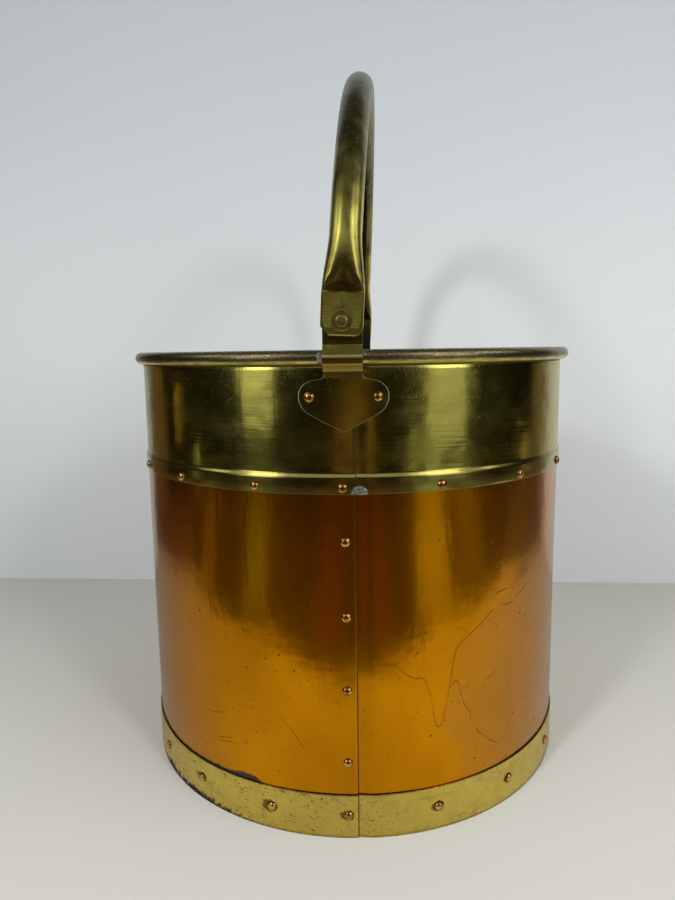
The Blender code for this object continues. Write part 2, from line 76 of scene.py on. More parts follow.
# %% Sizes of the rolled rim and the lapped seam
ROLL_RADIUS = 0.0040
ROLL_CENTRE_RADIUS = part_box("brass_collar")[1].x - ROLL_RADIUS
ROLL_CENTRE_HEIGHT = RIM_HEIGHT - ROLL_RADIUS
WALL_TOP = ROLL_CENTRE_HEIGHT - 0.0050
SEAM_LAP = 0.0056 / BODY_RADIUS  # angle from the rivet line to the sheet's end
SEAM_CLEAR = SEAM_LAP + 0.0005 / BODY_RADIUS
SEAM_DIP = SEAM_CLEAR + 0.0090 / BODY_RADIUS
GROOVE_END = SEAM_LAP * BODY_RADIUS + 0.0009
NOTCH_CLEARANCE = 0.00012
print("rim reaches", round(ROLL_CENTRE_RADIUS + ROLL_RADIUS, 5), "m from the axis")

# %% [markdown]
# Everything round is placed by an azimuth, the angle round the bucket: 0 faces the front, -Y,
# and it grows towards +X. Hand-worked sheet is never a perfect cylinder, and polished metal
# shows it at once in its reflections, so all the sheets share one slow wander in and out.

# %% Places round the bucket
SWAY_DEPTH = 0.00028
SWAY_ROUND = 2.3  # waves per radian, roughly
SWAY_UP = 9.0  # waves per metre, roughly
SWAY_ENDS = (0.255, 0.274)  # it fades out between these heights, below the rim


def around(radius, azimuth, height):
    """A point of the bucket; azimuth 0 faces -Y and grows towards +X."""
    return Vector((radius * math.sin(azimuth), -radius * math.cos(azimuth), height))


def even(start, stop, count):
    """count + 1 values from start to stop."""
    return [start + (stop - start) * index / count for index in range(count + 1)]


def carried_on(values, *stretches):
    """The values, carried on evenly through stretches of (stop, count)."""
    for stop, count in stretches:
        values = values + even(values[-1], stop, count)[1:]
    return values


def eased(value, low, high):
    """0 below low, 1 above high and a smooth step between them."""
    share = min(1, max(0, (value - low) / (high - low)))
    return share * share * (3 - 2 * share)


def sway(azimuth, height):
    """How far the hand-worked wall strays from a true cylinder."""
    round_it = Vector((math.sin(azimuth), math.cos(azimuth), 0)) * SWAY_ROUND
    spot = round_it + Vector((0, 0, SWAY_UP * height))
    return SWAY_DEPTH * noise.noise(spot) * (1 - eased(height, *SWAY_ENDS))


print("sway at the front:", round(sway(0, 0.12) * 1000, 3), "mm")

# %% [markdown]
# A loft joins rows of points with quads, and is all that a sheet-metal worker's shapes need.
# Each corner also keeps its distance along and up the sheet, in metres, as a UV map, so that
# brushing and dirt follow the metal round the bucket.

# %% Lofts
UV_NAME = "sheet"
MEETING = 1e-6  # points nearer than this are one point


def loft(sections, marks, skipped=()):
    """A surface of quads through sections of points; marks holds each point's UV."""
    bm = bmesh.new()
    sheet = bm.loops.layers.uv.new(UV_NAME)
    rows = [[bm.verts.new(point) for point in section] for section in sections]
    for i in range(len(rows) - 1):
        for j in range(len(rows[i]) - 1):
            if (i, j) in skipped:
                continue
            corners = ((i, j), (i + 1, j), (i + 1, j + 1), (i, j + 1))
            face = bm.faces.new([rows[a][b] for a, b in corners])
            for loop, (a, b) in zip(face.loops, corners):
                loop[sheet].uv = marks[a][b]
    loose = [vertex for vertex in bm.verts if not vertex.link_faces]
    bmesh.ops.delete(bm, geom=loose, context="VERTS")
    return bm


def sealed(bm):
    """Joins points that meet, closes what is open and turns the faces outwards."""
    bmesh.ops.remove_doubles(bm, verts=bm.verts, dist=MEETING)
    bmesh.ops.holes_fill(bm, edges=[edge for edge in bm.edges if edge.is_boundary])
    bmesh.ops.recalc_face_normals(bm, faces=bm.faces)
    return bm


print("each piece's UV map:", UV_NAME)


# %% Objects
def linked(name, data):
    made = bpy.data.objects.new(name, data)
    bpy.context.scene.collection.objects.link(made)
    return made


def object_of(name, bm, *materials, sharp=40):
    """An object at the origin from a bmesh, smooth except over sharp edges."""
    mesh = bpy.data.meshes.new(name)
    bm.to_mesh(mesh)
    bm.free()
    for material in materials:
        mesh.materials.append(material)
    mesh.shade_smooth()
    mesh.set_sharp_from_angle(angle=math.radians(sharp))
    return linked(name, mesh)


def round_edges(made, width, angle=55):
    worn = made.modifiers.new("worn edge", "BEVEL")
    worn.width = width
    worn.segments = 2
    worn.limit_method = "ANGLE"
    worn.angle_limit = math.radians(angle)


def thicken(made, thickness, offset=0.0, inside=0, edge=0.00014):
    """Gives a sheet its thickness, and its cut edges a small round."""
    wall = made.modifiers.new("thickness", "SOLIDIFY")
    wall.thickness = thickness
    wall.offset = offset
    wall.use_even_offset = True
    wall.material_offset = inside
    round_edges(made, edge)
    print(made.name, len(made.data.polygons), "faces before modifiers")
    return made


def store(made, name, values):
    """Keeps one number for each point of the piece, for its finish to read."""
    stored = made.data.attributes.new(name, "FLOAT", "POINT")
    stored.data.foreach_set("value", values)


# %% [markdown]
# ## Metals
# Some layers are painted shade or painted highlights, and their comments say so.
#
# Bare metal has no colour of its own apart from its reflections, so each finish here is a
# fully metallic shader whose tint, roughness and relief vary over the surface. A finish is
# built up in layers, as real metal is: clean metal, dulled clouds, brushing, pits, then dirt.
#
# A node tree is hard to read as a list of nodes and links. The class Value wraps one output
# socket, so that a product or a sum of values in the script makes the Math nodes for it.

# %% Values in a node tree
def add(tree, kind, inputs=None, **settings):
    """Adds a node; inputs maps a socket's name or number to a value or to another socket."""
    made = tree.nodes.new(kind)
    for name, value in settings.items():
        setattr(made, name, value)
    for name, value in (inputs or {}).items():
        value = getattr(value, "socket", value)
        if isinstance(value, bpy.types.NodeSocket):
            tree.links.new(value, made.inputs[name])
        else:
            made.inputs[name].default_value = value
    return made


def worked_out(operation, turned_round=False):
    """The method that adds one Math node; turned_round swaps its two numbers."""

    def method(value, other=0.0):
        numbers = {0: other, 1: value} if turned_round else {0: value, 1: other}
        made = add(value.tree, "ShaderNodeMath", numbers, operation=operation)
        return Value(value.tree, made.outputs[0])

    return method


class Value:
    """A number that a node works out; sums and products of values add Math nodes."""

    def __init__(self, tree, socket):
        self.tree = tree
        self.socket = socket

    __mul__ = worked_out("MULTIPLY")
    __truediv__ = worked_out("DIVIDE")
    __add__ = worked_out("ADD")
    __sub__ = worked_out("SUBTRACT")
    __rsub__ = worked_out("SUBTRACT", turned_round=True)
    __abs__ = worked_out("ABSOLUTE")
    sign = worked_out("SIGN")
    at_least = worked_out("MAXIMUM")
    at_most = worked_out("MINIMUM")

    def step(self, low, high):
        """0 at low, 1 at high and smooth between them; low may be the larger one."""
        sockets = {"Value": self, "From Min": low, "From Max": high}
        made = add(self.tree, "ShaderNodeMapRange", sockets, interpolation_type="SMOOTHSTEP")
        return Value(self.tree, made.outputs[0])

    def between(self, start, full, last, end):
        """0 up to start, 1 from full to last, and 0 again from end."""
        return self.step(start, full) * self.step(end, last)


def axes(tree, vector):
    """The three parts of a vector, each as a value."""
    parts = add(tree, "ShaderNodeSeparateXYZ", {0: vector})
    return [Value(tree, socket) for socket in parts.outputs]


print("a Value has", [name for name in vars(Value) if not name.startswith("_")])


# %% Colours
def mixed(tree, share, first, second):
    made = add(tree, "ShaderNodeMix", {0: share, 6: first, 7: second}, data_type="RGBA")
    return made.outputs[2]


def tone(red, green, blue):
    """A colour as a screen shows it, 0 to 255, made linear."""
    return tuple((part / 255) ** 2.2 for part in (red, green, blue)) + (1.0,)


SPECK = (0.06, 0.032, 0.012, 1)
DIRT = (0.120, 0.085, 0.055, 1)
print("dirt reflects", SPECK[0], "to", DIRT[0], "of the red light")


# %% A finish in layers
class Finish:
    """A metal whose tint, roughness and relief are built up in layers."""

    def __init__(self, name, light, dull, roughness, cloud_size=0.03, follows_sheet=True):
        self.material = bpy.data.materials.new(name)
        self.material.use_nodes = True
        self.tree = self.material.node_tree
        self.shader = self.tree.nodes["Principled BSDF"]
        self.shader.inputs["Metallic"].default_value = 1
        self.place = add(self.tree, "ShaderNodeTexCoord").outputs["Object"]
        self.x, self.y, self.z = axes(self.tree, self.place)
        self.where = self.place
        if follows_sheet:
            self.where = add(self.tree, "ShaderNodeUVMap", uv_map=UV_NAME).outputs[0]
        clouds = self.patches(cloud_size, 0.35, 0.68, detail=3)
        self.color = mixed(self.tree, clouds, light, dull)
        self.rough = clouds * 0.03 + roughness
        self.relief = 0.0

    def patches(self, size, low, high, stretch=(1, 1, 1), detail=2, seed=0.0, turn=0):
        """A mask, 0 to 1, of soft patches of about that size in metres, turned by degrees."""
        where = self.where
        if turn:
            sockets = {"Vector": where, "Angle": math.radians(turn)}
            where = add(self.tree, "ShaderNodeVectorRotate", sockets).outputs[0]
        sockets = {0: where, 1: tuple(part / size for part in stretch), 2: (seed, seed, seed)}
        move = add(self.tree, "ShaderNodeVectorMath", sockets, operation="MULTIPLY_ADD")
        sockets = {"Vector": move.outputs[0], "Scale": 1.0, "Detail": detail}
        pattern = add(self.tree, "ShaderNodeTexNoise", sockets)
        return Value(self.tree, pattern.outputs[0]).step(low, high)

    def layer(self, mask, color, roughness, depth=0.0):
        """Lays a colour, a roughness and a relief in metres over what is there."""
        self.color = mixed(self.tree, mask, self.color, color)
        over = add(self.tree, "ShaderNodeMix", {0: mask, 2: self.rough, 3: roughness})
        self.rough = over.outputs[0]
        if depth:
            self.emboss(mask, depth)

    def emboss(self, mask, depth):
        self.relief = mask * depth + self.relief

    def scratches(self, size, low, seed, turn, color, roughness):
        """Short thin lines that all run one way, broken up into patches."""
        lines = self.patches(size, low, low + 0.08, (1, 0.030, 1), 2, seed, turn)
        where = self.patches(0.03, 0.48, 0.66, seed=seed + 0.5)
        self.layer(lines * where * 0.6, color, roughness, -0.000008)

    def lap_shadow(self):
        """Dark dirt and painted shade in the groove beside the edge of the lapped end."""
        along = axes(self.tree, self.where)[0]
        self.layer(along.step(GROOVE_END, GROOVE_END - 0.0004) * 0.9, DIRT, 0.6)

    def attribute(self, name):
        found = add(self.tree, "ShaderNodeAttribute", attribute_name=name)
        return Value(self.tree, found.outputs["Fac"])

    def distance(self, spot):
        away = add(self.tree, "ShaderNodeVectorMath", {0: self.place, 1: spot}, operation="DISTANCE")
        return Value(self.tree, away.outputs["Value"])

    def done(self):
        sockets = {"Height": self.relief, "Distance": 1.0, "Strength": 1.0}
        bump = add(self.tree, "ShaderNodeBump", sockets)
        results = {"Base Color": self.color, "Roughness": self.rough, "Normal": bump.outputs[0]}
        for name, result in results.items():
            self.tree.links.new(getattr(result, "socket", result), self.shader.inputs[name])
        print("finish:", self.material.name, len(self.tree.nodes), "nodes")
        return self.material


# %% [markdown]
# The copper wall is lacquered: a deep orange with a few scratches, dark specks and rub marks.
# Dirt has crept up from the foot band, further on the left of the front than elsewhere, so the
# sheet carries an attribute, "stain", which says how far inside the dirty edge each point is.
# A second one, "film", is 1 where lacquer is left.

# %% Copper
COPPER_LIGHT = (0.73, 0.290, 0.003, 1)
COPPER_DULL = (0.65, 0.250, 0.003, 1)
COPPER_BARE = (0.52, 0.230, 0.040, 1)
COPPER_RUBBED = (0.80, 0.42, 0.10, 1)
COPPER_DEEP = (0.36, 0.130, 0.006, 1)


def copper_finish():
    made = Finish("lacquered_copper", COPPER_LIGHT, COPPER_DULL, 0.165, cloud_size=0.045)
    made.layer(1 - made.attribute("film"), COPPER_BARE, 0.20)
    made.emboss(made.patches(0.008, 0.2, 0.8, (1, 0.05, 1), seed=3.0), 0.000040)
    fingers = made.patches(0.0055, 0.25, 0.75, (1, 0.12, 1), seed=3.5)
    rippled = made.patches(0.050, 0.48, 0.60, detail=1, seed=4.0)
    made.emboss(fingers * rippled, 0.00011)
    made.emboss(made.patches(0.016, 0.3, 0.7, seed=4.5), 0.000055)
    made.emboss(made.patches(0.0010, 0.2, 0.8, (0.04, 1, 1), seed=5.0, turn=3), 0.0000045)
    haze = made.patches(0.020, 0.50, 0.70, (1, 0.5, 1), detail=4, seed=6.0)
    made.layer(haze * 0.5, COPPER_DULL, 0.26)
    made.scratches(0.0007, 0.68, 7.0, 50, COPPER_RUBBED, 0.26)
    made.scratches(0.0007, 0.66, 8.0, -25, COPPER_DEEP, 0.30)
    made.scratches(0.0006, 0.68, 9.0, 80, COPPER_RUBBED, 0.26)
    rings = made.patches(0.012, 0.49, 0.51, detail=1, seed=10.0)
    some = made.patches(0.040, 0.48, 0.60, seed=10.5)
    made.layer(rings * (1 - rings) * 1.6 * some, COPPER_DEEP, 0.3)
    made.layer(made.patches(0.0028, 0.685, 0.72, detail=4, seed=11.0), SPECK, 0.5, -0.00002)
    made.layer(made.patches(0.0014, 0.705, 0.73, detail=3, seed=12.0), SPECK, 0.5, -0.00002)
    made.layer(made.patches(0.0011, 0.70, 0.78, seed=14.0) * 0.35, COPPER_RUBBED, 0.5)
    ragged = made.patches(0.003, 0.0, 1.0, detail=4, seed=17.0)
    inside = made.attribute("stain") + (ragged * 0.0030 - 0.0017)
    made.layer(inside.step(0.0, 0.0009), DIRT, 0.55, -0.00003)
    made.lap_shadow()
    return made.done()


COPPER = copper_finish()

# %% [markdown]
# The brass is greener and duller than the copper, and was rubbed round and round, which left
# fine level lines. High on the collar, under the rim, it is freckled where cleaning never got.
# At the sides a duller, browner tone is painted, a painted reflection, as "hazy" says.
# Painted shade darkens the step's line, except at the front where it shines, and the lip below.

# %% Brass of the collar
BRASS_LIGHT = (0.70, 0.640, 0.130, 1)
BRASS_DULL = (0.60, 0.545, 0.120, 1)
BRASS_PAINTED_DARK = (0.42, 0.340, 0.130, 1)
LIP_PAINTED_SHADE = (0.32, 0.270, 0.070, 1)
FRECKLE = (0.11, 0.085, 0.035, 1)
BLOOM = (0.42, 0.37, 0.20, 1)
UNDER_RIM = (0.240, 0.272)  # the freckles set in between these heights
SHINE_ENDS = (0.100, 0.060)  # how far to either side the line's shine fades


def brushed(made, depth):
    """Fine level lines from rubbing, in two sizes."""
    for size, share, seed in ((0.0011, 1.0, 5.0), (0.0032, 1.8, 5.5)):
        fine = made.patches(size, 0.2, 0.8, (0.035, 1, 1), seed=seed, turn=2)
        made.emboss(fine, depth * share)


def bloomed(made, share, seed):
    """Pale grains of tarnish, which show on the dark parts of the metal."""
    grains = made.patches(0.0010, 0.58, 0.74, detail=3, seed=seed)
    where = made.patches(0.022, 0.42, 0.66, detail=3, seed=seed + 1)
    made.layer(grains * where * share, BLOOM, 0.58)


def collar_finish():
    made = Finish("collar_brass", BRASS_LIGHT, BRASS_DULL, 0.145)
    brushed(made, 0.0000080)
    made.emboss(made.patches(0.012, 0.2, 0.8, (1, 0.12, 1), detail=3, seed=3.0), 0.000060)
    made.emboss(made.patches(0.024, 0.3, 0.7, detail=1, seed=4.0), 0.00014)
    made.emboss(made.patches(0.013, 0.3, 0.7, detail=1, seed=4.5), 0.00006)
    haze = made.patches(0.016, 0.46, 0.72, (0.6, 1, 1), detail=5, seed=6.0)
    made.layer(haze * 0.6, BRASS_DULL, 0.28)
    bloomed(made, 0.35, 8.0)
    high = made.z.step(*UNDER_RIM) * made.patches(0.030, 0.40, 0.62, detail=4, seed=9.7)
    grains = made.patches(0.0007, 0.48, 0.74, detail=4, seed=9.0)
    made.layer(grains * high * 0.32, BLOOM, 0.5)
    pits = made.patches(0.0011, 0.58, 0.70, detail=5, seed=9.5)
    made.layer(pits * high * 0.50, FRECKLE, 0.45)
    # Painted reflection: a duller, browner tone at the sides of the collar.
    made.layer(made.attribute("hazy") * 0.60, BRASS_PAINTED_DARK, 0.36)
    # Painted shade on the step and the lip below it; the step's line is left to shine at the front.
    low, top = COLLAR_STEP, COLLAR_STEP_TOP
    step_and_lip_shade = made.z.step(top + 0.0003, top - 0.0003)
    made.layer(step_and_lip_shade * 0.4, BRASS_PAINTED_DARK, 0.24)
    shine = made.z.between(low + 0.0003, low + 0.0007, top - 0.0006, top - 0.0002)
    shine = shine * abs(made.x).step(*SHINE_ENDS)
    step_shade = (1 - shine) * step_and_lip_shade * made.z.step(low - 0.0002, low + 0.0002)
    made.layer(step_shade * 0.7, LIP_PAINTED_SHADE, 0.26)
    made.layer(made.z.step(low + 0.0002, low - 0.0010) * 0.55, LIP_PAINTED_SHADE, 0.18)
    made.scratches(0.0008, 0.67, 15.0, 60, BLOOM, 0.4)
    made.layer(made.patches(0.0030, 0.73, 0.78, detail=3, seed=13.0), FRECKLE, 0.5, -0.00002)
    made.lap_shadow()
    return made.done()


COLLAR_BRASS = collar_finish()

# %% [markdown]
# Painted shade darkens the roll's underside, next to the collar.
# Hands and coal have browned the top of the rolled rim. Its lower half, which nobody touches,
# is still yellow. Height above the floor is enough to tell one from the other.
#
# The foot band is the dirtiest piece. Specks lie thick on its left, as "specked" says, a tide
# line wanders over it, and some of its rivets sit in a black ring of their own size.

# %% Brass of the rim
TARNISH = (0.175, 0.140, 0.098, 1)
RIM_LIGHT = (0.90, 0.800, 0.240, 1)
RIM_SHADE = (0.42, 0.350, 0.085, 1)
BROWNED = (ROLL_CENTRE_HEIGHT - 0.0034, ROLL_CENTRE_HEIGHT - 0.0008)


def rim_finish():
    made = Finish("rim_brass", RIM_LIGHT, BRASS_LIGHT, 0.24, cloud_size=0.018)
    mottled = made.patches(0.003, 0.42, 0.66, (0.35, 1, 1), detail=5, seed=2.0)
    made.layer(mottled * 0.8, RIM_SHADE, 0.30)
    ragged = made.patches(0.0060, 0.2, 0.8, (0.16, 1, 1), detail=6, seed=4.0)
    brown = (made.z + (ragged * 0.0022 - 0.0011)).step(*BROWNED)
    grainy = made.patches(0.0009, 0.30, 0.62, (0.5, 1, 1), detail=4, seed=5.0)
    made.layer(brown * (grainy * 0.45 + 0.55), TARNISH, 0.36, -0.00001)
    # Painted shade on the roll's underside, where it meets the collar.
    made.layer(made.z.step(WALL_TOP + 0.0022, WALL_TOP + 0.0008) * 0.75, TARNISH, 0.45)
    bloomed(made, 0.6, 18.0)
    return made.done()


RIM_BRASS = rim_finish()

# %% Brass of the foot band, and the sooty inside
BAND_LIGHT = (0.76, 0.580, 0.115, 1)
BAND_DULL = (0.69, 0.520, 0.110, 1)
BAND_STAIN = (0.24, 0.190, 0.070, 1)
BAND_RIVET_HEIGHT = BAND_TOP * 0.542
DIRTY_RIVETS = (  # azimuth in degrees, and radius of the black ring
    (-39.1, 0.0024), (-17.9, 0.0030), (0, 0.0016), (20.9, 0.0016), (42, 0.0018), (63.1, 0.0020)
)
INSIDE_LIGHT = (0.34, 0.200, 0.075, 1)
INSIDE_DARK = (0.13, 0.085, 0.045, 1)


def band_finish():
    made = Finish("band_brass", BAND_LIGHT, BAND_DULL, 0.27, cloud_size=0.012)
    made.emboss(made.patches(0.020, 0.3, 0.7, seed=19.0), 0.00012)
    made.layer(made.patches(0.010, 0.56, 0.74, detail=5, seed=20.0) * 0.30, BAND_STAIN, 0.4)
    made.scratches(0.0007, 0.66, 24.0, 40, BAND_STAIN, 0.4)
    tide = made.patches(0.030, 0.492, 0.508, (0.5, 1, 1), detail=3, seed=18.0)
    made.layer(tide * (1 - tide) * 1.1, BAND_STAIN, 0.4)
    specked = made.attribute("specked")
    where = made.patches(0.020, 0.46, 0.58, detail=3, seed=20.5) * specked
    fine = made.patches(0.0013, 0.61, 0.64, detail=4, seed=21.0)
    made.layer(fine * where, SPECK, 0.55, -0.00002)
    spots = made.patches(0.0026, 0.635, 0.66, detail=6, seed=22.0)
    made.layer(spots * where, SPECK, 0.55, -0.00003)
    grime = made.patches(0.0042, 0.62, 0.70, (0.6, 1, 1), detail=6, seed=22.5)
    made.layer(grime * specked * 0.7, BAND_STAIN, 0.5)
    uneven = made.patches(0.0024, 0.0, 1.0, detail=4, seed=25.0)
    for azimuth, radius in DIRTY_RIVETS:
        away = made.distance(around(BAND_MID, math.radians(azimuth), BAND_RIVET_HEIGHT))
        dirty = (away - uneven * 0.0030).step(radius, radius - 0.0012)
        made.layer(dirty * 0.75, SPECK, 0.55)
    # Darker towards the band's bottom edge.
    made.layer(made.z.step(0.0022, 0.0004) * 0.6, BAND_STAIN, 0.5)
    edge = made.patches(0.003, 0.0, 1.0, detail=5, seed=23.0)
    top = (made.z + (edge * 0.0014 - 0.0006)).step(BAND_TOP - 0.0005, BAND_TOP)
    made.layer(top * 0.5, DIRT, 0.5)
    inside = made.attribute("stain") + (edge * 0.0080 - 0.0045)
    made.layer(inside.step(0.0, 0.0012), BAND_STAIN, 0.6, -0.00002)
    made.layer(inside.step(0.0012, 0.0030), SPECK, 0.6)
    made.lap_shadow()
    return made.done()


def inside_finish():
    made = Finish("sooty_inside", INSIDE_LIGHT, INSIDE_DARK, 0.42, cloud_size=0.035)
    scuffs = made.patches(0.006, 0.55, 0.75, (0.3, 1, 1), detail=4, seed=31.0)
    made.layer(scuffs, INSIDE_DARK, 0.6, -0.00002)
    made.layer(made.patches(0.0022, 0.62, 0.70, detail=4, seed=33.0), SPECK, 0.6, -0.00002)
    return made.done()


BAND_BRASS = band_finish()
INSIDE = inside_finish()

# %% [markdown]
# A strap is one piece, but light finds it in stripes, and these are painted: painted shade on
# the tuck under the roll and the slope above it, and a painted highlight on the crest and along
# the outline of its shield. The rear ear's inner side is painted dark, as painted shade.

# %% Brass of the straps
STRAP_SHADE = (0.30, 0.225, 0.060, 1)
OUTLINE_HIGHLIGHT = (0.98, 0.900, 0.500, 1)
CREST_HIGHLIGHT = (0.95, 0.760, 0.280, 1)
EAR_SHADE = (0.050, 0.048, 0.042, 1)
TUCK = (0.2704, 0.2716, 0.2808, 0.2822)  # heights, as for Value.between
CREST = (0.2810, 0.2813, 0.2826, 0.2829)
SLOPE = (0.2826, 0.2832)
OUTLINE_LIT_BELOW = (0.2735, 0.2705)
EAR_INSIDE = (0.150, 0.151, 0.1526, 0.1532)  # distances back from the axis
EAR_FOOT = (0.2862, 0.2872)


def strap_finish():
    made = Finish("strap_brass", BRASS_LIGHT, BRASS_DULL, 0.17, cloud_size=0.02)
    made.layer(made.patches(0.010, 0.45, 0.70, detail=4, seed=40.0) * 0.6, BRASS_DULL, 0.28)
    bloomed(made, 0.35, 42.0)
    made.layer(made.patches(0.0022, 0.68, 0.76, detail=4, seed=41.0), FRECKLE, 0.4, -0.00001)
    # Painted shade on the tuck under the roll and on the slope above it, a painted highlight on the
    # crest.
    made.layer(made.z.between(*TUCK) * 0.85, STRAP_SHADE, 0.24)
    made.layer(made.z.step(*SLOPE) * 0.5, STRAP_SHADE, 0.30)
    made.layer(made.z.between(*CREST) * 0.9, CREST_HIGHLIGHT, 0.42)
    # A painted highlight along the shield's rounded outline.
    lit_outline = made.attribute("edge").step(0.50, 0.80) * made.z.step(*OUTLINE_LIT_BELOW)
    made.layer(lit_outline * 0.8, OUTLINE_HIGHLIGHT, 0.60)
    # Painted shade on the rear ear's inner side.
    ear_painted_dark = made.y.between(*EAR_INSIDE) * made.z.step(*EAR_FOOT)
    made.layer(ear_painted_dark * 0.85, EAR_SHADE, 0.40)
    return made.done()


STRAP_BRASS = strap_finish()

# %% [markdown]
# The handle is yellow near the straps and browner up the arch: partly wear where hands carry
# it, partly painted shade for the dark room it mirrors. Its flats are dull from the press.
# Painted shade darkens the neck and the scoop above them, and the grooves between the grips
# except in the middle, where the washer has worn the grips away.

# %% Brass of the handle
HANDLE_BROWN_AND_SHADE = (0.090, 0.066, 0.028, 1)
HANDLE_SMUDGE = (0.34, 0.280, 0.075, 1)
HOLLOW_PAINTED_SHADE = (0.095, 0.056, 0.016, 1)
NECK_PAINTED_SHADE = (0.26, 0.200, 0.050, 1)
TUBE_DARK_AND_SHADE = (0.040, 0.029, 0.013, 1)
PRESSED_BELOW = (0.3165, 0.3125)
NECK = (0.3160, 0.3200, 0.328, 0.350)
GROOVES_UP = (0.2966, 0.2974, 0.3138, 0.3146)
GROOVES_ASIDE = (0.0020, 0.0065, 0.0097, 0.0102)  # to either side of the pivot


def handle_finish():
    made = Finish("handle_brass", BRASS_LIGHT, BRASS_DULL, 0.27, 0.02, follows_sheet=False)
    smudges = made.patches(0.007, 0.45, 0.68, (1, 1, 0.4), detail=5, seed=50.0)
    made.layer(smudges * 0.75, HANDLE_SMUDGE, 0.32)
    made.emboss(made.patches(0.006, 0.3, 0.7, seed=49.0), 0.00004)
    made.emboss(made.patches(0.0012, 0.3, 0.7, seed=49.5), 0.000006)
    made.layer(made.z.step(*PRESSED_BELOW) * 0.8, BRASS_DULL, 0.36)
    # Browner and darker up the arch: partly wear, partly painted shade.
    worn = made.patches(0.012, 0.0, 1.0, (1, 1, 0.35), detail=5, seed=51.0)
    level = made.z + (worn * 0.080 - 0.040)
    brown = level.step(0.350, 0.410)
    made.layer(brown * 0.85, HANDLE_BROWN_AND_SHADE, 0.30)
    dark = made.patches(0.010, 0.42, 0.66, (1, 1, 0.3), detail=6, seed=56.0)
    made.layer(dark * level.step(0.330, 0.370) * 0.60, TUBE_DARK_AND_SHADE, 0.27)
    made.layer(made.patches(0.0009, 0.56, 0.70, detail=3, seed=52.0) * 0.45, BLOOM, 0.5)
    rubs = made.patches(0.0012, 0.50, 0.72, (0.15, 1, 1), detail=3, seed=55.0)
    made.layer(rubs * brown * 0.45, BLOOM, 0.45)
    nicks = made.patches(0.0022, 0.69, 0.72, (1, 1, 0.5), detail=3, seed=54.0)
    made.layer(nicks, BRASS_LIGHT, 0.45, -0.00003)
    made.layer(made.patches(0.0020, 0.68, 0.74, detail=4, seed=53.0), FRECKLE, 0.42, -0.00001)
    # Painted shade on the neck above the flats.
    made.layer(made.z.between(*NECK) * 0.6, NECK_PAINTED_SHADE, 0.30)
    # Painted shade in the scoop, deepest in its crease.
    made.layer(made.attribute("hollow") * 0.8, HOLLOW_PAINTED_SHADE, 0.33)
    # Painted shade in the grooves between the grips, except in the middle.
    grooves = abs(made.x - PIVOT_OFFSET).between(*GROOVES_ASIDE) * made.z.between(*GROOVES_UP)
    grooves = grooves * (1 - made.attribute("grip"))
    made.layer(grooves * 0.65, TUBE_DARK_AND_SHADE, 0.40)
    return made.done()


HANDLE_BRASS = handle_finish()

# %% [markdown]
# Rivets are copper, painted black round the foot of each head: dirt, and painted shade where
# the head meets the sheet. Each head carries an attribute, "crown", 0 at its foot and 1 at its
# top. Solder is soft grey tin, and the wire in the rim is plain iron.

# %% Rivet copper, pivot brass, solder and iron
def crowned_finish(name, light, dull, roughness):
    made = Finish(name, light, dull, roughness, 0.004, follows_sheet=False)
    # Dark round the foot of the head: dirt, and painted shade where the head meets the sheet.
    made.layer(made.attribute("crown").step(0.26, 0.06) * 0.9, SPECK, 0.5)
    return made.done()


def lumpy_finish(name, light, dull, roughness, size, seed=61.0, detail=4, lump=None, depth=0.00008):
    """A finish with small lumps; lump is their size where it isn't that of the clouds."""
    made = Finish(name, light, dull, roughness, size, follows_sheet=False)
    made.emboss(made.patches(lump or size, 0.3, 0.7, detail=detail, seed=seed), depth)
    return made.done()


RIVET_COPPER = crowned_finish("rivet_copper", (0.82, 0.470, 0.130, 1), (0.38, 0.165, 0.035, 1), 0.16)
PIVOT_BRASS = crowned_finish("pivot_brass", (0.58, 0.490, 0.150, 1), (0.40, 0.330, 0.100, 1), 0.38)
SOLDER = lumpy_finish("solder", (0.66, 0.68, 0.60, 1), (0.26, 0.27, 0.23, 1), 0.52, 0.0016)
IRON = lumpy_finish("iron_wire", (0.30, 0.28, 0.26, 1), (0.14, 0.10, 0.07, 1), 0.5, 0.004)

# %% [markdown]
# ## The sheets
#
# A rolled sheet starts at its inner end, which dips under by one thickness at the seam, goes
# right round, and ends on top of itself just past the line of rivets. Corners are cut from
# the blank where two laps would lie on each other.

# %% A sheet rolled round the bucket
COLUMNS = 300
LONGEST_ROW = 0.005
END_COLUMNS = 8  # in the lapped end
OUTER_END = (math.tau - SEAM_CLEAR, math.tau + SEAM_LAP)
LAP_COLUMNS = carried_on(
    [-SEAM_LAP],
    (SEAM_CLEAR, 8),
    (SEAM_DIP, 6),
    (math.tau - SEAM_DIP, COLUMNS),
    (OUTER_END[0], 3),
    (OUTER_END[1], END_COLUMNS),
)


def dip_at(azimuth):
    """How far a sheet dips near the seam's rivet line."""
    return STEP * (1 - eased(azimuth, SEAM_CLEAR, SEAM_DIP))


def divided(profile):
    """The profile with points added so that no stretch is long."""
    points = [profile[0]]
    for (radius, height, dips), after in zip(profile, profile[1:]):
        across, up = after[0] - radius, after[1] - height
        for share in even(0, 1, max(1, math.ceil(math.hypot(across, up) / LONGEST_ROW)))[1:]:
            dipping = after[2] if share == 1 else min(dips, after[2])
            points.append((radius + across * share, height + up * share, dipping))
    return points


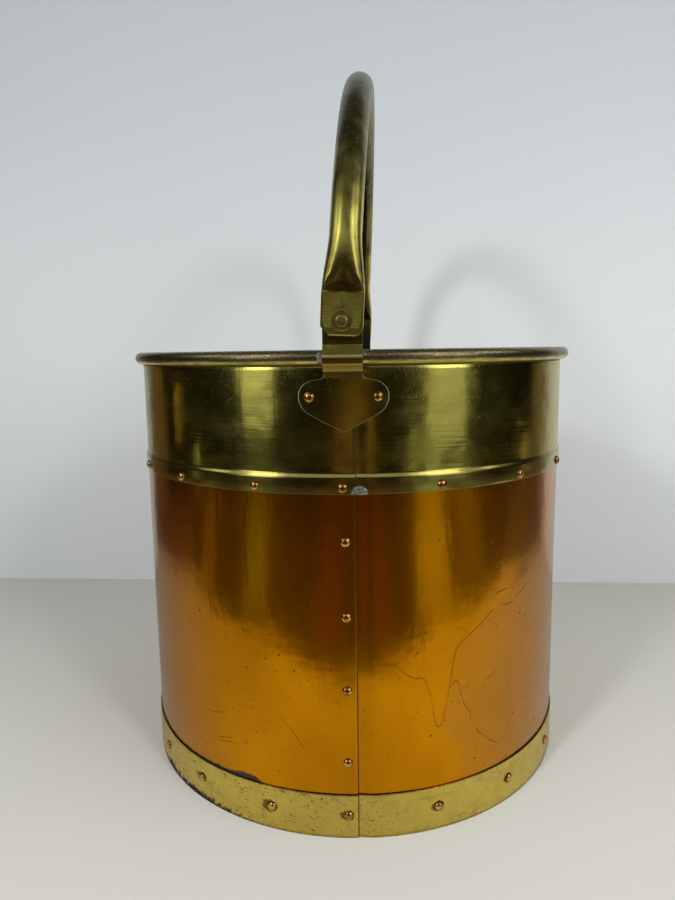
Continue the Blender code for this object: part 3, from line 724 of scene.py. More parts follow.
def rolled_sheet(name, profile, notches, *materials):
    """profile: (radius, height, whether the inner end dips there), from the bottom up.

    A notch, cut from the blank, is (first azimuth, last azimuth, lowest, highest)."""
    rows = divided(profile)
    runs = [0.0]
    for before, after in zip(rows, rows[1:]):
        runs.append(runs[-1] + math.hypot(after[0] - before[0], after[1] - before[1]))
    sections, marks = [], []
    for azimuth in LAP_COLUMNS:
        dip, turned = dip_at(azimuth), SEAM_AZIMUTH + azimuth
        sections.append([around(r - dip * dips + sway(turned, z), turned, z) for r, z, dips in rows])
        marks.append([(azimuth * BODY_RADIUS, run) for run in runs])
    skipped = set()
    for i, (left, right) in enumerate(zip(LAP_COLUMNS, LAP_COLUMNS[1:])):
        for j, (low, high) in enumerate(zip(rows, rows[1:])):
            middle, level = (left + right) / 2, (low[1] + high[1]) / 2
            for first, last, lowest, highest in notches:
                if first < middle < last and lowest < level < highest:
                    skipped.add((i, j))
    return object_of(name, loft(sections, marks, skipped), *materials)


print("columns round a sheet:", len(LAP_COLUMNS))

# %% The copper wall
LOW_NOTCH = BAND_TOP + NOTCH_CLEARANCE
HIGH_NOTCH = COLLAR_BOTTOM - NOTCH_CLEARANCE
SUPPORT = 0.0004  # rows this near a notch keep the sheet's shading flat up to it
COPPER_ROWS = (
    COPPER_BOTTOM, LOW_NOTCH, LOW_NOTCH + SUPPORT, HIGH_NOTCH - SUPPORT, HIGH_NOTCH, COPPER_TOP
)
copper_wall = rolled_sheet(
    "copper_wall",
    [(BODY_MID, height, 1) for height in COPPER_ROWS],
    ((*OUTER_END, 0, LOW_NOTCH), (*OUTER_END, HIGH_NOTCH, COPPER_TOP)),
    COPPER,
    INSIDE,
)
thicken(copper_wall, SHEET, inside=1)

# %% [markdown]
# The stain is a table of how high the dirt stands at some azimuths. A point's attribute is
# how far below that line it lies, and the finish makes the edge ragged. The specks and the
# collar's painted sides have a table each too, of how strong they are.

# %% Tables round the bucket
BACK = -78  # each table starts here and goes once round, to 282
STAIN_ON_COPPER = (
    (-78, 0.0002), (-62, 0.0004), (-52, 0.0016), (-49, 0.0002), (-46, 0.0018), (-38, 0.0020),
    (-33, 0.0026), (-28, 0.0028), (-25, 0.0044), (-21, 0.0040), (-19, 0.0004), (-5, 0.0002),
    (-1, 0.0016), (2, 0.0000), (30, 0.0003), (46, 0.0014), (52, 0.0002), (75, 0.0006),
    (120, 0.0016), (170, 0.0008), (215, 0.0026), (255, 0.0010), (282, 0.0004),
)
STAIN_ON_BAND = (
    (-78, 0.000), (-62, 0.001), (-55, 0.007), (-49, 0.004), (-42, 0.006), (-33, 0.004),
    (-26, 0.003), (-18, 0.001), (0, 0.000), (60, 0.001), (110, 0.004), (160, 0.002),
    (230, 0.003), (282, 0.000),
)
SPECKS_ON_BAND = (
    (-78, 0.5), (-62, 0.8), (-48, 1.0), (-30, 1.0), (-14, 0.9), (2, 0.7), (8, 0.5), (20, 0.3),
    (55, 0.3), (68, 0.9), (120, 0.8), (230, 0.7), (282, 0.5),
)
PAINTED_SIDES_ON_COLLAR = (
    (-78, 1.0), (-60, 1.0), (-48, 0.0), (46, 0.0), (58, 1.0), (120, 0.8), (282, 1.0)
)


def read(table, value):
    """What a table of (value, result) says, in a straight line between its rows."""
    for (first, low), (last, high) in zip(table, table[1:]):
        if first <= value <= last:
            return low + (high - low) * (value - first) / (last - first)
    return 0.0


def read_round(table, azimuth):
    return read(table, (azimuth - BACK) % 360 + BACK)


def mark(made, name, value_at):
    """Stores value_at(azimuth in degrees, height) on the points of a sheet."""
    places = [vertex.co for vertex in made.data.vertices]
    store(made, name, [value_at(math.degrees(math.atan2(p.x, -p.y)), p.z) for p in places])


mark(copper_wall, "stain", lambda turn, up: read_round(STAIN_ON_COPPER, turn) - (up - BAND_TOP))
print("dirt stands", round(read_round(STAIN_ON_COPPER, -25) * 1000, 1), "mm high left of the seam")

# %% [markdown]
# The lacquer is left only on the middle of the front. To its right it once ran down in a
# long drop, so its edge there is a table too: an azimuth for each height.

# %% Where lacquer is left on the copper
LACQUER_RIGHT = (
    (0.000, 30.0), (0.050, 27.0), (0.065, 22.0), (0.080, 23.8), (0.0956, 24.9), (0.109, 25.9),
    (0.1173, 28.9), (0.1259, 33.9), (0.1314, 37.2), (0.1380, 42.0), (0.150, 46.0), (0.215, 52.0),
)
THIN_SHARE = 0.35  # of the lacquer that ends at the run's edge, while the rest thins out
RUN_SOFT = (-0.8, 0.8)
THINS_RIGHT, THINS_LEFT = (58, 26), (-60, -26)


def lacquered(turn, up):
    """1 where lacquer is left, 0 on bare copper."""
    run = eased(read(LACQUER_RIGHT, up) - turn, *RUN_SOFT)
    left_over = THIN_SHARE * run + (1 - THIN_SHARE) * eased(turn, *THINS_RIGHT)
    return left_over * eased(turn, *THINS_LEFT)


mark(copper_wall, "film", lacquered)
print("lacquer left at the front:", round(lacquered(0, COLLAR_BOTTOM / 2), 2))

# %% The brass foot band
band_line = [(BAND_MID, 0, 1), (BAND_MID, BAND_TOP, 1)]
base_band = rolled_sheet("base_band_sheet", band_line, (), BAND_BRASS, INSIDE)
mark(base_band, "stain", lambda turn, up: read_round(STAIN_ON_BAND, turn) - up)
mark(base_band, "specked", lambda turn, up: read_round(SPECKS_ON_BAND, turn))
thicken(base_band, SHEET, inside=1)

# %% [markdown]
# The collar laps outside the copper, steps in above it and ends in a roll round a wire. The
# roll is part of the same sheet: the wall leans in a little, and then turns out and over.
# The inside finish goes one slot up from the outside one, and the rim's slot is the last, so
# the roll's hidden face keeps the rim's brass.

# %% The brass collar and its rolled rim
ROLL_TURN = even(math.radians(180), math.radians(-108), 36)
ROLL_MIDDLE = ROLL_RADIUS - SHEET / 2
INNER_NOTCH = WALL_TOP - ROLL_RADIUS / 2
STEP_CORNER = 0.0006


def towards(start, end, radius):
    """The point that far from start on the way to end, or 0.4 of the way if that is less."""
    way = end - start
    return start + way.normalized() * min(radius, way.length * 0.4)


def rounded(points, radius, steps=4):
    """The points of a line with its inner corners rounded off over about that radius."""
    smooth = [points[0]]
    for before, corner, after in zip(points, points[1:], points[2:]):
        middle = Vector(corner)
        start = towards(middle, Vector(before), radius)
        end = towards(middle, Vector(after), radius)
        for share in even(0, 1, steps):
            smooth.append(tuple(start.lerp(middle, share).lerp(middle.lerp(end, share), share)))
    return smooth + [points[-1]]


def on_circle(radius, turn):
    """(distance from the axis, height) of a point round the middle of the roll."""
    return ROLL_CENTRE_RADIUS + radius * math.cos(turn), ROLL_CENTRE_HEIGHT + radius * math.sin(turn)


step_line = [(BAND_MID, COLLAR_BOTTOM), (BAND_MID, COLLAR_STEP)]
step_line += [(BODY_MID, COLLAR_STEP_TOP), (BODY_MID, INNER_NOTCH)]
wall_line = [(*point, 1) for point in rounded(step_line, STEP_CORNER)] + [(BODY_MID, WALL_TOP, 0)]
roll_line = [(*on_circle(ROLL_MIDDLE, turn), 0) for turn in ROLL_TURN]
end_notch = (-SEAM_LAP, SEAM_CLEAR, INNER_NOTCH, RIM_HEIGHT)
brasses = (COLLAR_BRASS, INSIDE, RIM_BRASS)
collar = rolled_sheet("collar_sheet", wall_line + roll_line, (end_notch,), *brasses)
mark(collar, "hazy", lambda turn, up: read_round(PAINTED_SIDES_ON_COLLAR, turn))
for face in collar.data.polygons:
    if face.center.z > WALL_TOP:
        face.material_index = 2
thicken(collar, SHEET, inside=1)

# %% [markdown]
# A plain iron wire fills the roll. The bottom is a disc with its edge turned down, and is
# pressed in where it passes the lap in the wall.

# %% The wire in the rim
WIRE_RADIUS = ROLL_RADIUS - SHEET - GAP
WIRE_SIDES = 12
sections, marks = [], []
for turn in even(0, math.tau, COLUMNS):
    spins = even(0, -math.tau, WIRE_SIDES)
    lines = [on_circle(WIRE_RADIUS, spin) for spin in spins]
    sections.append([around(reach, turn, height) for reach, height in lines])
    marks.append([(turn * ROLL_CENTRE_RADIUS, spin * WIRE_RADIUS) for spin in spins])
rim_wire = object_of("rim_wire_round", sealed(loft(sections, marks)), IRON)
print(rim_wire.name, len(rim_wire.data.polygons), "faces")

# %% The bottom plate
PLATE_HEIGHT = 0.0220 - SHEET / 2
FLANGE_RADIUS = BODY_MID - STEP
FLANGE_CORNER = 0.0024
PRESSED_FROM = 0.110  # the plate is pressed in outside this radius
SWAYS_FROM = 0.14
PLATE_RINGS = (0.080, 0.040, 0)
PLATE_MEETING = 2e-5  # the middle's points become one


def bottom_plate():
    edge = [(FLANGE_RADIUS, COPPER_BOTTOM), (FLANGE_RADIUS, PLATE_HEIGHT), (PRESSED_FROM, PLATE_HEIGHT)]
    line = rounded(edge, FLANGE_CORNER, 6) + [(radius, PLATE_HEIGHT) for radius in PLATE_RINGS]
    sections = []
    for azimuth in LAP_COLUMNS[:-END_COLUMNS]:
        if azimuth < SEAM_LAP:
            continue
        dip, turned = dip_at(min(azimuth, math.tau - azimuth)), SEAM_AZIMUTH + azimuth
        section = []
        for radius, height in line:
            strays = sway(turned, height) * (radius > SWAYS_FROM)
            pressed = dip * eased(radius, PRESSED_FROM, FLANGE_RADIUS)
            section.append(around(radius - pressed + strays, turned, height))
        sections.append(section)
    sections.append(sections[0])
    bm = loft(sections, [[(point.x, point.y) for point in section] for section in sections])
    bmesh.ops.remove_doubles(bm, verts=bm.verts, dist=PLATE_MEETING)
    return thicken(object_of("bottom_disc", bm, INSIDE), SHEET)


bottom_disc = bottom_plate()

# %% [markdown]
# ## Straps
#
# Each strap is one piece of thicker brass: a shield riveted to the collar, a neck bent out
# round the rolled rim, and a flat ear for the pivot. Its outline is a table of half widths.

# %% The shield's outline
STRAP_SHEET = 0.0012
HALF_STRAP = 0.0106
HALF_SHIELD = 0.0244
SHIELD_TIP = 0.2413
SHIELD_TOP = 0.2709
SHIELD_OUTLINE = (
    (0.000, 0.010), (0.060, 0.135), (0.181, 0.434), (0.300, 0.700), (0.390, 0.860),
    (0.460, 0.930), (0.558, 0.985), (0.650, 1.000), (0.740, 0.985), (0.826, 0.935),
    (0.885, 0.860), (0.930, 0.755), (0.952, 0.640), (0.960, 0.535), (1.000, 0.4344),
)
shield_shares = carried_on([0.0], *[(share, 4) for share, half in SHIELD_OUTLINE[1:]])
print("shield rows:", len(shield_shares))


# %% A smooth line through points
def weighed(a, b, c, d, share):
    """A cubic curve from b to c that heads for the points before and after them."""
    even_part = 2 * b + (c - a) * share
    return 0.5 * (
        even_part + (2 * a - 5 * b + 4 * c - d) * share**2 + (3 * b - a - 3 * c + d) * share**3
    )


def flowing(points, steps=6):
    """A smooth line through the points."""
    line = []
    padded = [points[0], *points, points[-1]]
    for four in zip(padded, padded[1:], padded[2:], padded[3:]):
        for share in even(0, 1, steps)[:-1]:
            line.append(tuple(weighed(*parts, share) for parts in zip(*four)))
    return line + [points[-1]]


print("a smooth line:", len(flowing(SHIELD_OUTLINE)), "points")

# %% The strap's bends, and both straps
PIVOT_HEIGHT = 0.3001
EAR_INNER = 0.1522
EAR_TOP = PIVOT_HEIGHT + 0.0075
EAR_CORNER = 0.0040
EAR_CREASE = 0.2877
FLAT_FROM = 0.2829  # above it the wall's curve fades out of the strap, up to the crease
ROUND_THE_ROLL = (
    (0.15060, 0.27300), (0.15140, 0.27500), (0.15310, 0.27690), (0.15470, 0.27830),
    (0.15525, 0.27960), (0.15545, 0.28100), (0.15540, 0.28200),
)
CROWDED = 1.8  # how much the strap's points crowd towards its sides
STRAP_EVEN = even(-1, 1, 28)
STRAP_SHARES = [math.copysign(1 - (1 - abs(share)) ** CROWDED, share) for share in STRAP_EVEN]
OUTLINE_HIGHLIGHT_WIDTH = 0.0010
STRAP_EDGE = 0.00042


def strap_rows():
    """(radius of the inner face, height, half width, share of the wall's curve) going up."""
    wall = BODY_RADIUS + GAP
    rows = []
    for share in shield_shares[:-1]:
        half = HALF_SHIELD * read(SHIELD_OUTLINE, share)
        rows.append((wall, SHIELD_TIP + share * (SHIELD_TOP - SHIELD_TIP), half, 1))
    bends = [rows[-1][:2], (wall, SHIELD_TOP), *flowing(ROUND_THE_ROLL, 4)]
    bends += [(EAR_INNER, EAR_CREASE), (EAR_INNER, EAR_TOP - EAR_CORNER)]
    for radius, height in rounded(bends, 0.0004, 3)[1:]:
        rows.append((radius, height, HALF_STRAP, 1 - eased(height, FLAT_FROM, EAR_CREASE)))
    for turn in even(0, math.pi / 2, 8)[1:]:
        height = EAR_TOP - EAR_CORNER + EAR_CORNER * math.sin(turn)
        rows.append((EAR_INNER, height, HALF_STRAP - EAR_CORNER * (1 - math.cos(turn)), 0))
    return rows


def strap(name, sideways, turn):
    """A strap at the front, turned about the bucket's axis; "edge" is 1 along its outline."""
    sections, marks, edges, run, before = [], [], [], 0.0, None
    for radius, height, half, curved in strap_rows():
        section = []
        for share in STRAP_SHARES:
            edges.append(max(0, 1 - (1 - abs(share)) * half / OUTLINE_HIGHLIGHT_WIDTH))
            x = sideways + half * share
            sagged = radius - math.sqrt(radius * radius - x * x)
            section.append(Vector((x, -radius + curved * sagged, height)))
        if before:
            run += math.hypot(radius - before[0], height - before[1])
        before = (radius, height)
        sections.append(section)
        marks.append([(half * share, run) for share in STRAP_SHARES])
    bm = loft(sections, marks)
    bmesh.ops.reverse_faces(bm, faces=bm.faces)
    bm.transform(Matrix.Rotation(turn, 4, "Z"))
    made = object_of(name, bm, STRAP_BRASS, sharp=50)
    store(made, "edge", edges)
    return thicken(made, STRAP_SHEET, offset=1.0, edge=STRAP_EDGE)


front_strap = strap("front_strap", PIVOT_OFFSET, 0)
rear_strap = strap("rear_strap", -PIVOT_OFFSET, math.pi)

# %% [markdown]
# ## Handle
#
# The handle is one brass tube. Its ends were flattened in a press, which widens them and
# leaves a scoop where the round tube starts, between two ridges. Each cross-section is a ring
# that goes from flat to round, and the scoop cuts into its outer and inner sides.

# %% Sizes of the handle, measured from the pivot
BAIL_RADIUS = 0.1560
ARC_RISE = 0.0039
BAIL_LEAN = math.radians(2.9)
TUBE_RADIUS = 0.0086
HALF_LUG = 0.0113
LUG_HALF_THICK = 0.0022
LUG_END = 0.0076
END_ROUND = 0.0042  # rows lie closer together over this length of the end
CORNER_CUT = 0.0046
CUT_SLOPE = 0.95
FLAT_TOP = 0.0145
NARROWS = (FLAT_TOP - 0.002, FLAT_TOP + 0.031)  # from the lug's width to the tube's
BLEND = 0.0330
SWELL_POWER = 0.72  # below 1, the tube swells fast at first
SCOOP = 0.0190
SCOOP_POWER = 1.7  # above 1, the scoop's floor rises slowly at first
SCOOP_DISH = (0.0010, 0.0180)  # how far its sides rise: at its foot, and more at its top
SCOOP_EDGE = 0.0005  # the scoop's rim is rounded over this height
END_THIN, END_THIN_OVER = 0.8, 0.0006  # the very end is a little thinner
BOXED, BOXED_OVER = 0.5, 0.010  # how much squarer the flats are, and where that ends
RING_POINTS = 64
RING_LENGTH = 0.055
handle_place = Matrix.Translation((PIVOT_OFFSET, 0, PIVOT_HEIGHT))
handle_place = handle_place @ Matrix.Rotation(BAIL_LEAN, 4, "Y")


def lug_edges(along):
    """Left and right edges of the tube: the left corner was cut off, the right one rounded."""
    half = HALF_LUG + (TUBE_RADIUS - HALF_LUG) * eased(along, *NARROWS)
    short = max(0, CORNER_CUT - (along + LUG_END))
    return -(half - short * CUT_SLOPE), half - CORNER_CUT + math.sqrt(CORNER_CUT**2 - short**2)


def half_thick(along):
    """From the flat's half thickness to the tube's radius, fast at first."""
    share = min(1, max(0, (along - FLAT_TOP) / BLEND))
    swollen = math.sin(share * math.pi / 2) ** SWELL_POWER
    return LUG_HALF_THICK + (TUBE_RADIUS - LUG_HALF_THICK) * swollen


def flattened_ring(half, thick):
    """Points evenly spaced round a ring with flat sides: (across, out) pairs."""
    flat = max(0, half - thick)
    length = 4 * flat + math.tau * thick
    points = []
    for index in range(RING_POINTS):
        run = length * (index + 0.5) / RING_POINTS
        side, sign = (run, 1) if run < length / 2 else (run - length / 2, -1)
        if side < flat:
            across, out = side, thick
        elif side < flat + math.pi * thick:
            turn = (side - flat) / thick
            across, out = flat + thick * math.sin(turn), thick * math.cos(turn)
        else:
            across, out = flat - (side - flat - math.pi * thick), -thick
        points.append((sign * across, sign * out))
    return points


print("half the lug's width:", [round(edge, 4) for edge in lug_edges(0)])


# %% The scoop, and where a point of the tube lies
def scooped(across, out, half, along):
    """Presses the ring in where the scoop is lower than the tube."""
    rise = (along - FLAT_TOP) / SCOOP
    if rise <= 0:
        return out
    floor = LUG_HALF_THICK + TUBE_RADIUS * rise**SCOOP_POWER
    floor += (SCOOP_DISH[0] + SCOOP_DISH[1] * rise) * (across / half) ** 2
    gap = max(0, SCOOP_EDGE - abs(abs(out) - floor)) / SCOOP_EDGE
    return math.copysign(min(abs(out), floor) - gap * gap * SCOOP_EDGE / 4, out)


def on_leg(across, out, along, side):
    """side -1 is the front leg; out points away from the inside of the arch."""
    turned = max(0, along - ARC_RISE) / BAIL_RADIUS
    outward = Vector((0, side * math.cos(turned), math.sin(turned)))
    centre = Vector((0, 0, min(along, ARC_RISE))) + BAIL_RADIUS * outward
    return centre + out * outward + Vector((across, 0, 0))


def handle_section(along, side):
    left, right = lug_edges(along)
    half, shift = (right - left) / 2, (right + left) / 2
    near_end = eased(along, -LUG_END, -LUG_END + END_THIN_OVER)
    thick = half_thick(along) * (END_THIN + (1 - END_THIN) * near_end)
    boxed = 1 + BOXED * (1 - eased(along, FLAT_TOP, FLAT_TOP + BOXED_OVER))
    section = []
    for across, out in flattened_ring(half, thick):
        squared = math.copysign(min(thick, abs(out) * boxed), out)
        pressed = scooped(across, squared, half, along)
        section.append(on_leg(across + shift, pressed, along, side))
    return section + section[:1]


top = ARC_RISE + BAIL_RADIUS * math.pi / 2
up_a_leg = carried_on(
    [-LUG_END + END_ROUND * share * share for share in even(0, 1, 8)],
    (FLAT_TOP, 14),
    (FLAT_TOP + SCOOP, 44),
    (FLAT_TOP + BLEND, 8),
    (top, 44),
)
print("cross-sections of a leg:", len(up_a_leg))

# %% [markdown]
# Painted shade sits in the scoop, deepest in the crease above the flat. Each point of the tube
# is traced back to its distance up the leg and to the side, and keeps how much shade it gets there.

# %% Painted shade in the scoop
CREASE_HEIGHT = 0.0058
CREASE_SOFT = (-0.0004, 0.0006)
ABOVE_SHARE = 0.6  # how much painted shade it gets above the crease
FADES_UP, FADES_ASIDE = (0.20, 0.80), (0.30, 0.75)


def hollow_at(point):
    """How much painted shade the scoop gets at a point: most in the crease above the flat."""
    local = handle_place.inverted() @ point
    turned = math.atan2(local.z - ARC_RISE, abs(local.y)) if local.z > ARC_RISE else 0
    rise = min(local.z, ARC_RISE) + BAIL_RADIUS * turned - FLAT_TOP
    if rise < 0.0001:
        return 0.0
    aside = min(1, abs(local.x) / lug_edges(rise + FLAT_TOP)[1])
    crease = eased(CREASE_HEIGHT * (1 - aside * aside) - rise, *CREASE_SOFT)
    above = ABOVE_SHARE * (1 - eased(rise / SCOOP, *FADES_UP)) * (1 - eased(aside, *FADES_ASIDE))
    return max(crease, above)


print("dirt in the crease:", hollow_at(handle_place @ on_leg(0, 0, FLAT_TOP + 0.002, -1)))


# %% Build the handle
def handle():
    legs = [(along, -1) for along in up_a_leg] + [(along, 1) for along in reversed(up_a_leg[:-1])]
    sections = [handle_section(along, side) for along, side in legs]
    marks = []
    for along, side in legs:
        run = along if side < 0 else 2 * up_a_leg[-1] - along
        marks.append([(index / RING_POINTS * RING_LENGTH, run) for index in range(RING_POINTS + 1)])
    bm = sealed(loft(sections, marks))
    bm.transform(handle_place)
    made = object_of("handle_tube", bm, HANDLE_BRASS, sharp=38)
    store(made, "hollow", [hollow_at(vertex.co) for vertex in made.data.vertices])
    round_edges(made, 0.0003, 60)
    return made


handle_tube = handle()
print("handle:", len(handle_tube.data.polygons), "faces before modifiers")

# %% [markdown]
# The jaws of the press left fine level grips on the flats, which have worn away in the middle
# where the washer turns. They repeat evenly, so Geometry Nodes lays them: one bar, an instance
# of it at each point, then one mesh. The rivets further down are laid in the same way.

# %% Helpers for a Geometry Nodes tree
def node_group(name, inputs):
    """A Geometry Nodes tree with named inputs; returns it, its inputs and its output node."""
    tree = bpy.data.node_groups.new(name, "GeometryNodeTree")
    for label, kind in (("Geometry", "Geometry"), *inputs):
        tree.interface.new_socket(label, in_out="INPUT", socket_type="NodeSocket" + kind)
    tree.interface.new_socket("Geometry", in_out="OUTPUT", socket_type="NodeSocketGeometry")
    given = tree.nodes.new("NodeGroupInput").outputs
    values = {label: Value(tree, given[label]) for label in ("Geometry", *dict(inputs))}
    return tree, values, tree.nodes.new("NodeGroupOutput")


def position(tree):
    return add(tree, "GeometryNodeInputPosition").outputs[0]


def moved(tree, geometry, **places):
    """Set Position, with Position or Offset given."""
    return add(tree, "GeometryNodeSetPosition", {"Geometry": geometry, **places}).outputs[0]


def vector(tree, x=0.0, y=0.0, z=0.0):
    return add(tree, "ShaderNodeCombineXYZ", {0: x, 1: y, 2: z}).outputs[0]


def named(tree, name, kind):
    return add(tree, "GeometryNodeInputNamedAttribute", {"Name": name}, data_type=kind).outputs[0]


def set_out(tree, points, piece, scale):
    """An instance of the piece on each point, turned as the point's own "turn" says."""
    turn = add(tree, "FunctionNodeEulerToRotation", {0: named(tree, "turn", "FLOAT_VECTOR")})
    sockets = {"Points": points, "Instance": piece, "Rotation": turn.outputs[0], "Scale": scale}
    return add(tree, "GeometryNodeInstanceOnPoints", sockets).outputs[0]


def finished(tree, geometry, material, result):
    """Sets the material and links the output."""
    sockets = {"Geometry": geometry, "Material": material}
    finish = add(tree, "GeometryNodeSetMaterial", sockets)
    tree.links.new(finish.outputs[0], result.inputs[0])
    print("tree:", tree.name, len(tree.nodes), "nodes")
    return tree


# %% Run a tree on points
def points_mesh(name, places, **values):
    """A mesh of loose points with one attribute for each named list of values."""
    mesh = bpy.data.meshes.new(name)
    mesh.from_pydata(places, [], [])
    for label, listed in values.items():
        many = isinstance(listed[0], tuple)
        stored = mesh.attributes.new(label, "FLOAT_VECTOR" if many else "FLOAT", "POINT")
        flat = [part for value in listed for part in value] if many else listed
        stored.data.foreach_set("vector" if many else "value", flat)
    return mesh


def grown(name, points, tree, values, sharp=40):
    """Runs the tree on the points and returns the result as a plain mesh object."""
    carrier = linked(name + "_points", points)
    modifier = carrier.modifiers.new(tree.name, "NODES")
    modifier.node_group = tree
    for item in tree.interface.items_tree:
        if item.item_type == "SOCKET" and item.in_out == "INPUT" and item.name in values:
            modifier[item.identifier] = values[item.name]
    bpy.context.view_layer.update()
    seen = carrier.evaluated_get(bpy.context.evaluated_depsgraph_get())
    mesh = bpy.data.meshes.new_from_object(seen)
    carrier.modifiers.clear()
    bpy.data.objects.remove(carrier)
    mesh.name = name
    mesh.shade_smooth()
    mesh.set_sharp_from_angle(angle=math.radians(sharp))
    print(name, len(mesh.polygons), "faces")
    return linked(name, mesh)


# %% The tree for the grips
def grip_tree():
    inputs = [(name, "Float") for name in ("Half Length", "Radius", "Worn Half")]
    tree, given, result = node_group("grips", inputs + [("Material", "Material")])
    line = add(tree, "GeometryNodeCurvePrimitiveLine", {"Start": (-1, 0, 0), "End": (1, 0, 0)})
    fine = add(tree, "GeometryNodeResampleCurve", {"Curve": line.outputs[0], "Count": 21})
    circle = add(tree, "GeometryNodeCurvePrimitiveCircle", {"Resolution": 6, "Radius": 1.0})
    sockets = {"Curve": fine.outputs[0], "Profile Curve": circle.outputs["Curve"], "Fill Caps": True}
    bar = add(tree, "GeometryNodeCurveToMesh", sockets).outputs[0]
    length = given["Half Length"] * named(tree, "reach", "FLOAT")
    size = vector(tree, length, given["Radius"], given["Radius"])
    laid = set_out(tree, given["Geometry"], bar, size)
    whole = add(tree, "GeometryNodeRealizeInstances", {"Geometry": laid}).outputs[0]
    across, back, up = axes(tree, position(tree))
    sunk = abs(across).step(given["Worn Half"], 0.0) * given["Radius"]
    inward = sunk * back.sign() * -0.5
    worn = moved(tree, whole, Offset=vector(tree, y=inward))
    return finished(tree, worn, given["Material"], result)


# %% Lay the grips on both flats
GRIP_PITCH = 0.00088
GRIP_RADIUS = 0.00034
GRIP_FIRST = -0.0031
GRIP_COUNT = 20
GRIP_HALF = HALF_LUG - 0.0014
GRIP_SUNK = LUG_HALF_THICK - GRIP_RADIUS * 0.45
GRIP_WORN_HALF = 0.0052  # half the width that the washer has worn
GRIP_SHARE = 0.90  # the lowest grip's length, as a share of a whole one's
GRIP_WHOLE_UP = (-0.0035, -0.0005)  # between these heights it grows to the whole


def grips():
    places, turns, reaches = [], [], []
    for side in (-1, 1):
        for index in range(GRIP_COUNT):
            along = GRIP_FIRST + index * GRIP_PITCH
            places.append(on_leg(0, GRIP_SUNK, along, side))
            turns.append((side * max(0, along - ARC_RISE) / BAIL_RADIUS, 0.0, 0.0))
            reaches.append(GRIP_SHARE + (1 - GRIP_SHARE) * eased(along, *GRIP_WHOLE_UP))
    points = points_mesh("grip_points", places, turn=turns, reach=reaches)
    values = {"Half Length": GRIP_HALF, "Radius": GRIP_RADIUS, "Worn Half": GRIP_WORN_HALF}
    made = grown("handle_grips", points, grip_tree(), {**values, "Material": HANDLE_BRASS})
    mark(made, "grip", lambda turn, up: 1.0)
    made.data.transform(handle_place)
    return made


handle_grips = grips()

# %% [markdown]
# ## Turned pieces and rivets
#
# The pivot's rivet has a flat head with a bevel, on a washer pressed into two rings. Both are
# turned shapes: a half profile spun round the pivot's line.

# %% Washers and pivot rivets
TURN_STEPS = 48
WASHER_THICK = 0.0008
HEAD_HEIGHT = 0.0021
WASHER_BASE = BAIL_RADIUS + LUG_HALF_THICK + GAP
HEAD_BASE = WASHER_BASE + WASHER_THICK + GAP
WASHER_LINE = (
    (0.0023, 0.0000), (0.0058, 0.0000), (0.0059, 0.0003), (0.0057, 0.0007), (0.0053, 0.0008),
    (0.0049, 0.0007), (0.0046, 0.00045), (0.0041, 0.0004), (0.0036, 0.0004), (0.0023, 0.0004),
    (0.0023, 0.0000),
)
HEAD_LINE = (
    (0.0000, 0.0021), (0.0016, 0.0021), (0.0027, 0.00205), (0.00292, 0.0019), (0.00345, 0.0010),
    (0.00355, 0.0006), (0.0034, -0.0004), (0.0020, -0.0004), (0.0020, -0.0072),
    (0.0031, -0.0072), (0.0030, -0.0078), (0.0022, -0.0083), (0.0000, -0.0084),
)


def turned(name, profile, place, crown):
    """Spins (radius, height) points round Z and puts the piece in place."""
    sections, marks = [], []
    for turn in even(0, math.tau, TURN_STEPS):
        sections.append([Vector((r * math.cos(turn), r * math.sin(turn), h)) for r, h in profile])
        marks.append([(turn * 0.004, index * 0.001) for index in range(len(profile))])
    bm = sealed(loft(sections, marks))
    heights = [vertex.co.z for vertex in bm.verts]
    bm.transform(place)
    made = object_of(name, bm, PIVOT_BRASS, sharp=32)
    store(made, "crown", [min(1, max(0, height / crown)) for height in heights])
    return made


def stand_out(side, radius):
    """Turns Z outwards at the front (-1) or rear (1) of the pivot's line."""
    return Matrix.Translation((0, side * radius, 0)) @ Matrix.Rotation(-side * math.pi / 2, 4, "X")


fixed_place = Matrix.Translation((PIVOT_OFFSET, 0, PIVOT_HEIGHT))
washers, pivots = [], []
for end, side in (("front", -1), ("rear", 1)):
    place = handle_place @ stand_out(side, WASHER_BASE)
    washers.append(turned(f"{end}_washer_ring", WASHER_LINE, place, WASHER_THICK))
    place = fixed_place @ stand_out(side, HEAD_BASE)
    pivots.append(turned(f"{end}_pivot_head", HEAD_LINE, place, HEAD_HEIGHT))
print("turned:", [piece.name for piece in washers + pivots])

# %% [markdown]
# The rivets all come from one Geometry Nodes tree: a ball flattened below its middle is the
# head, the other half of it is the tail, and a short cylinder joins them. A thin ragged dark
# disc lies round the foot of the head: dirt, and painted shade where the head meets the sheet.
# Heads differ a little in size and tilt, as hand-set rivets do, by a fixed seed.

# %% The tree for the rivets
HEAD_SMALL, HEAD_LARGE = 0.94, 1.04
TILT, HALF_TURN = 0.05, 3.14
DARK_RING_WAVES = 2.6
DARK_RING_LEAST, DARK_RING_MORE = 0.52, 0.9  # reach of the dark ring, as shares of its radius


def flattened_ball(tree, radius, height, lift, half):
    """A ball with one half pressed flat; half is the Value method that keeps the other."""
    ball = add(tree, "GeometryNodeMeshUVSphere", {"Segments": 24, "Rings": 12, "Radius": 1.0})
    x, y, z = axes(tree, position(tree))
    place = vector(tree, x * radius, y * radius, half(z) * height + lift)
    return moved(tree, ball.outputs[0], Position=place)


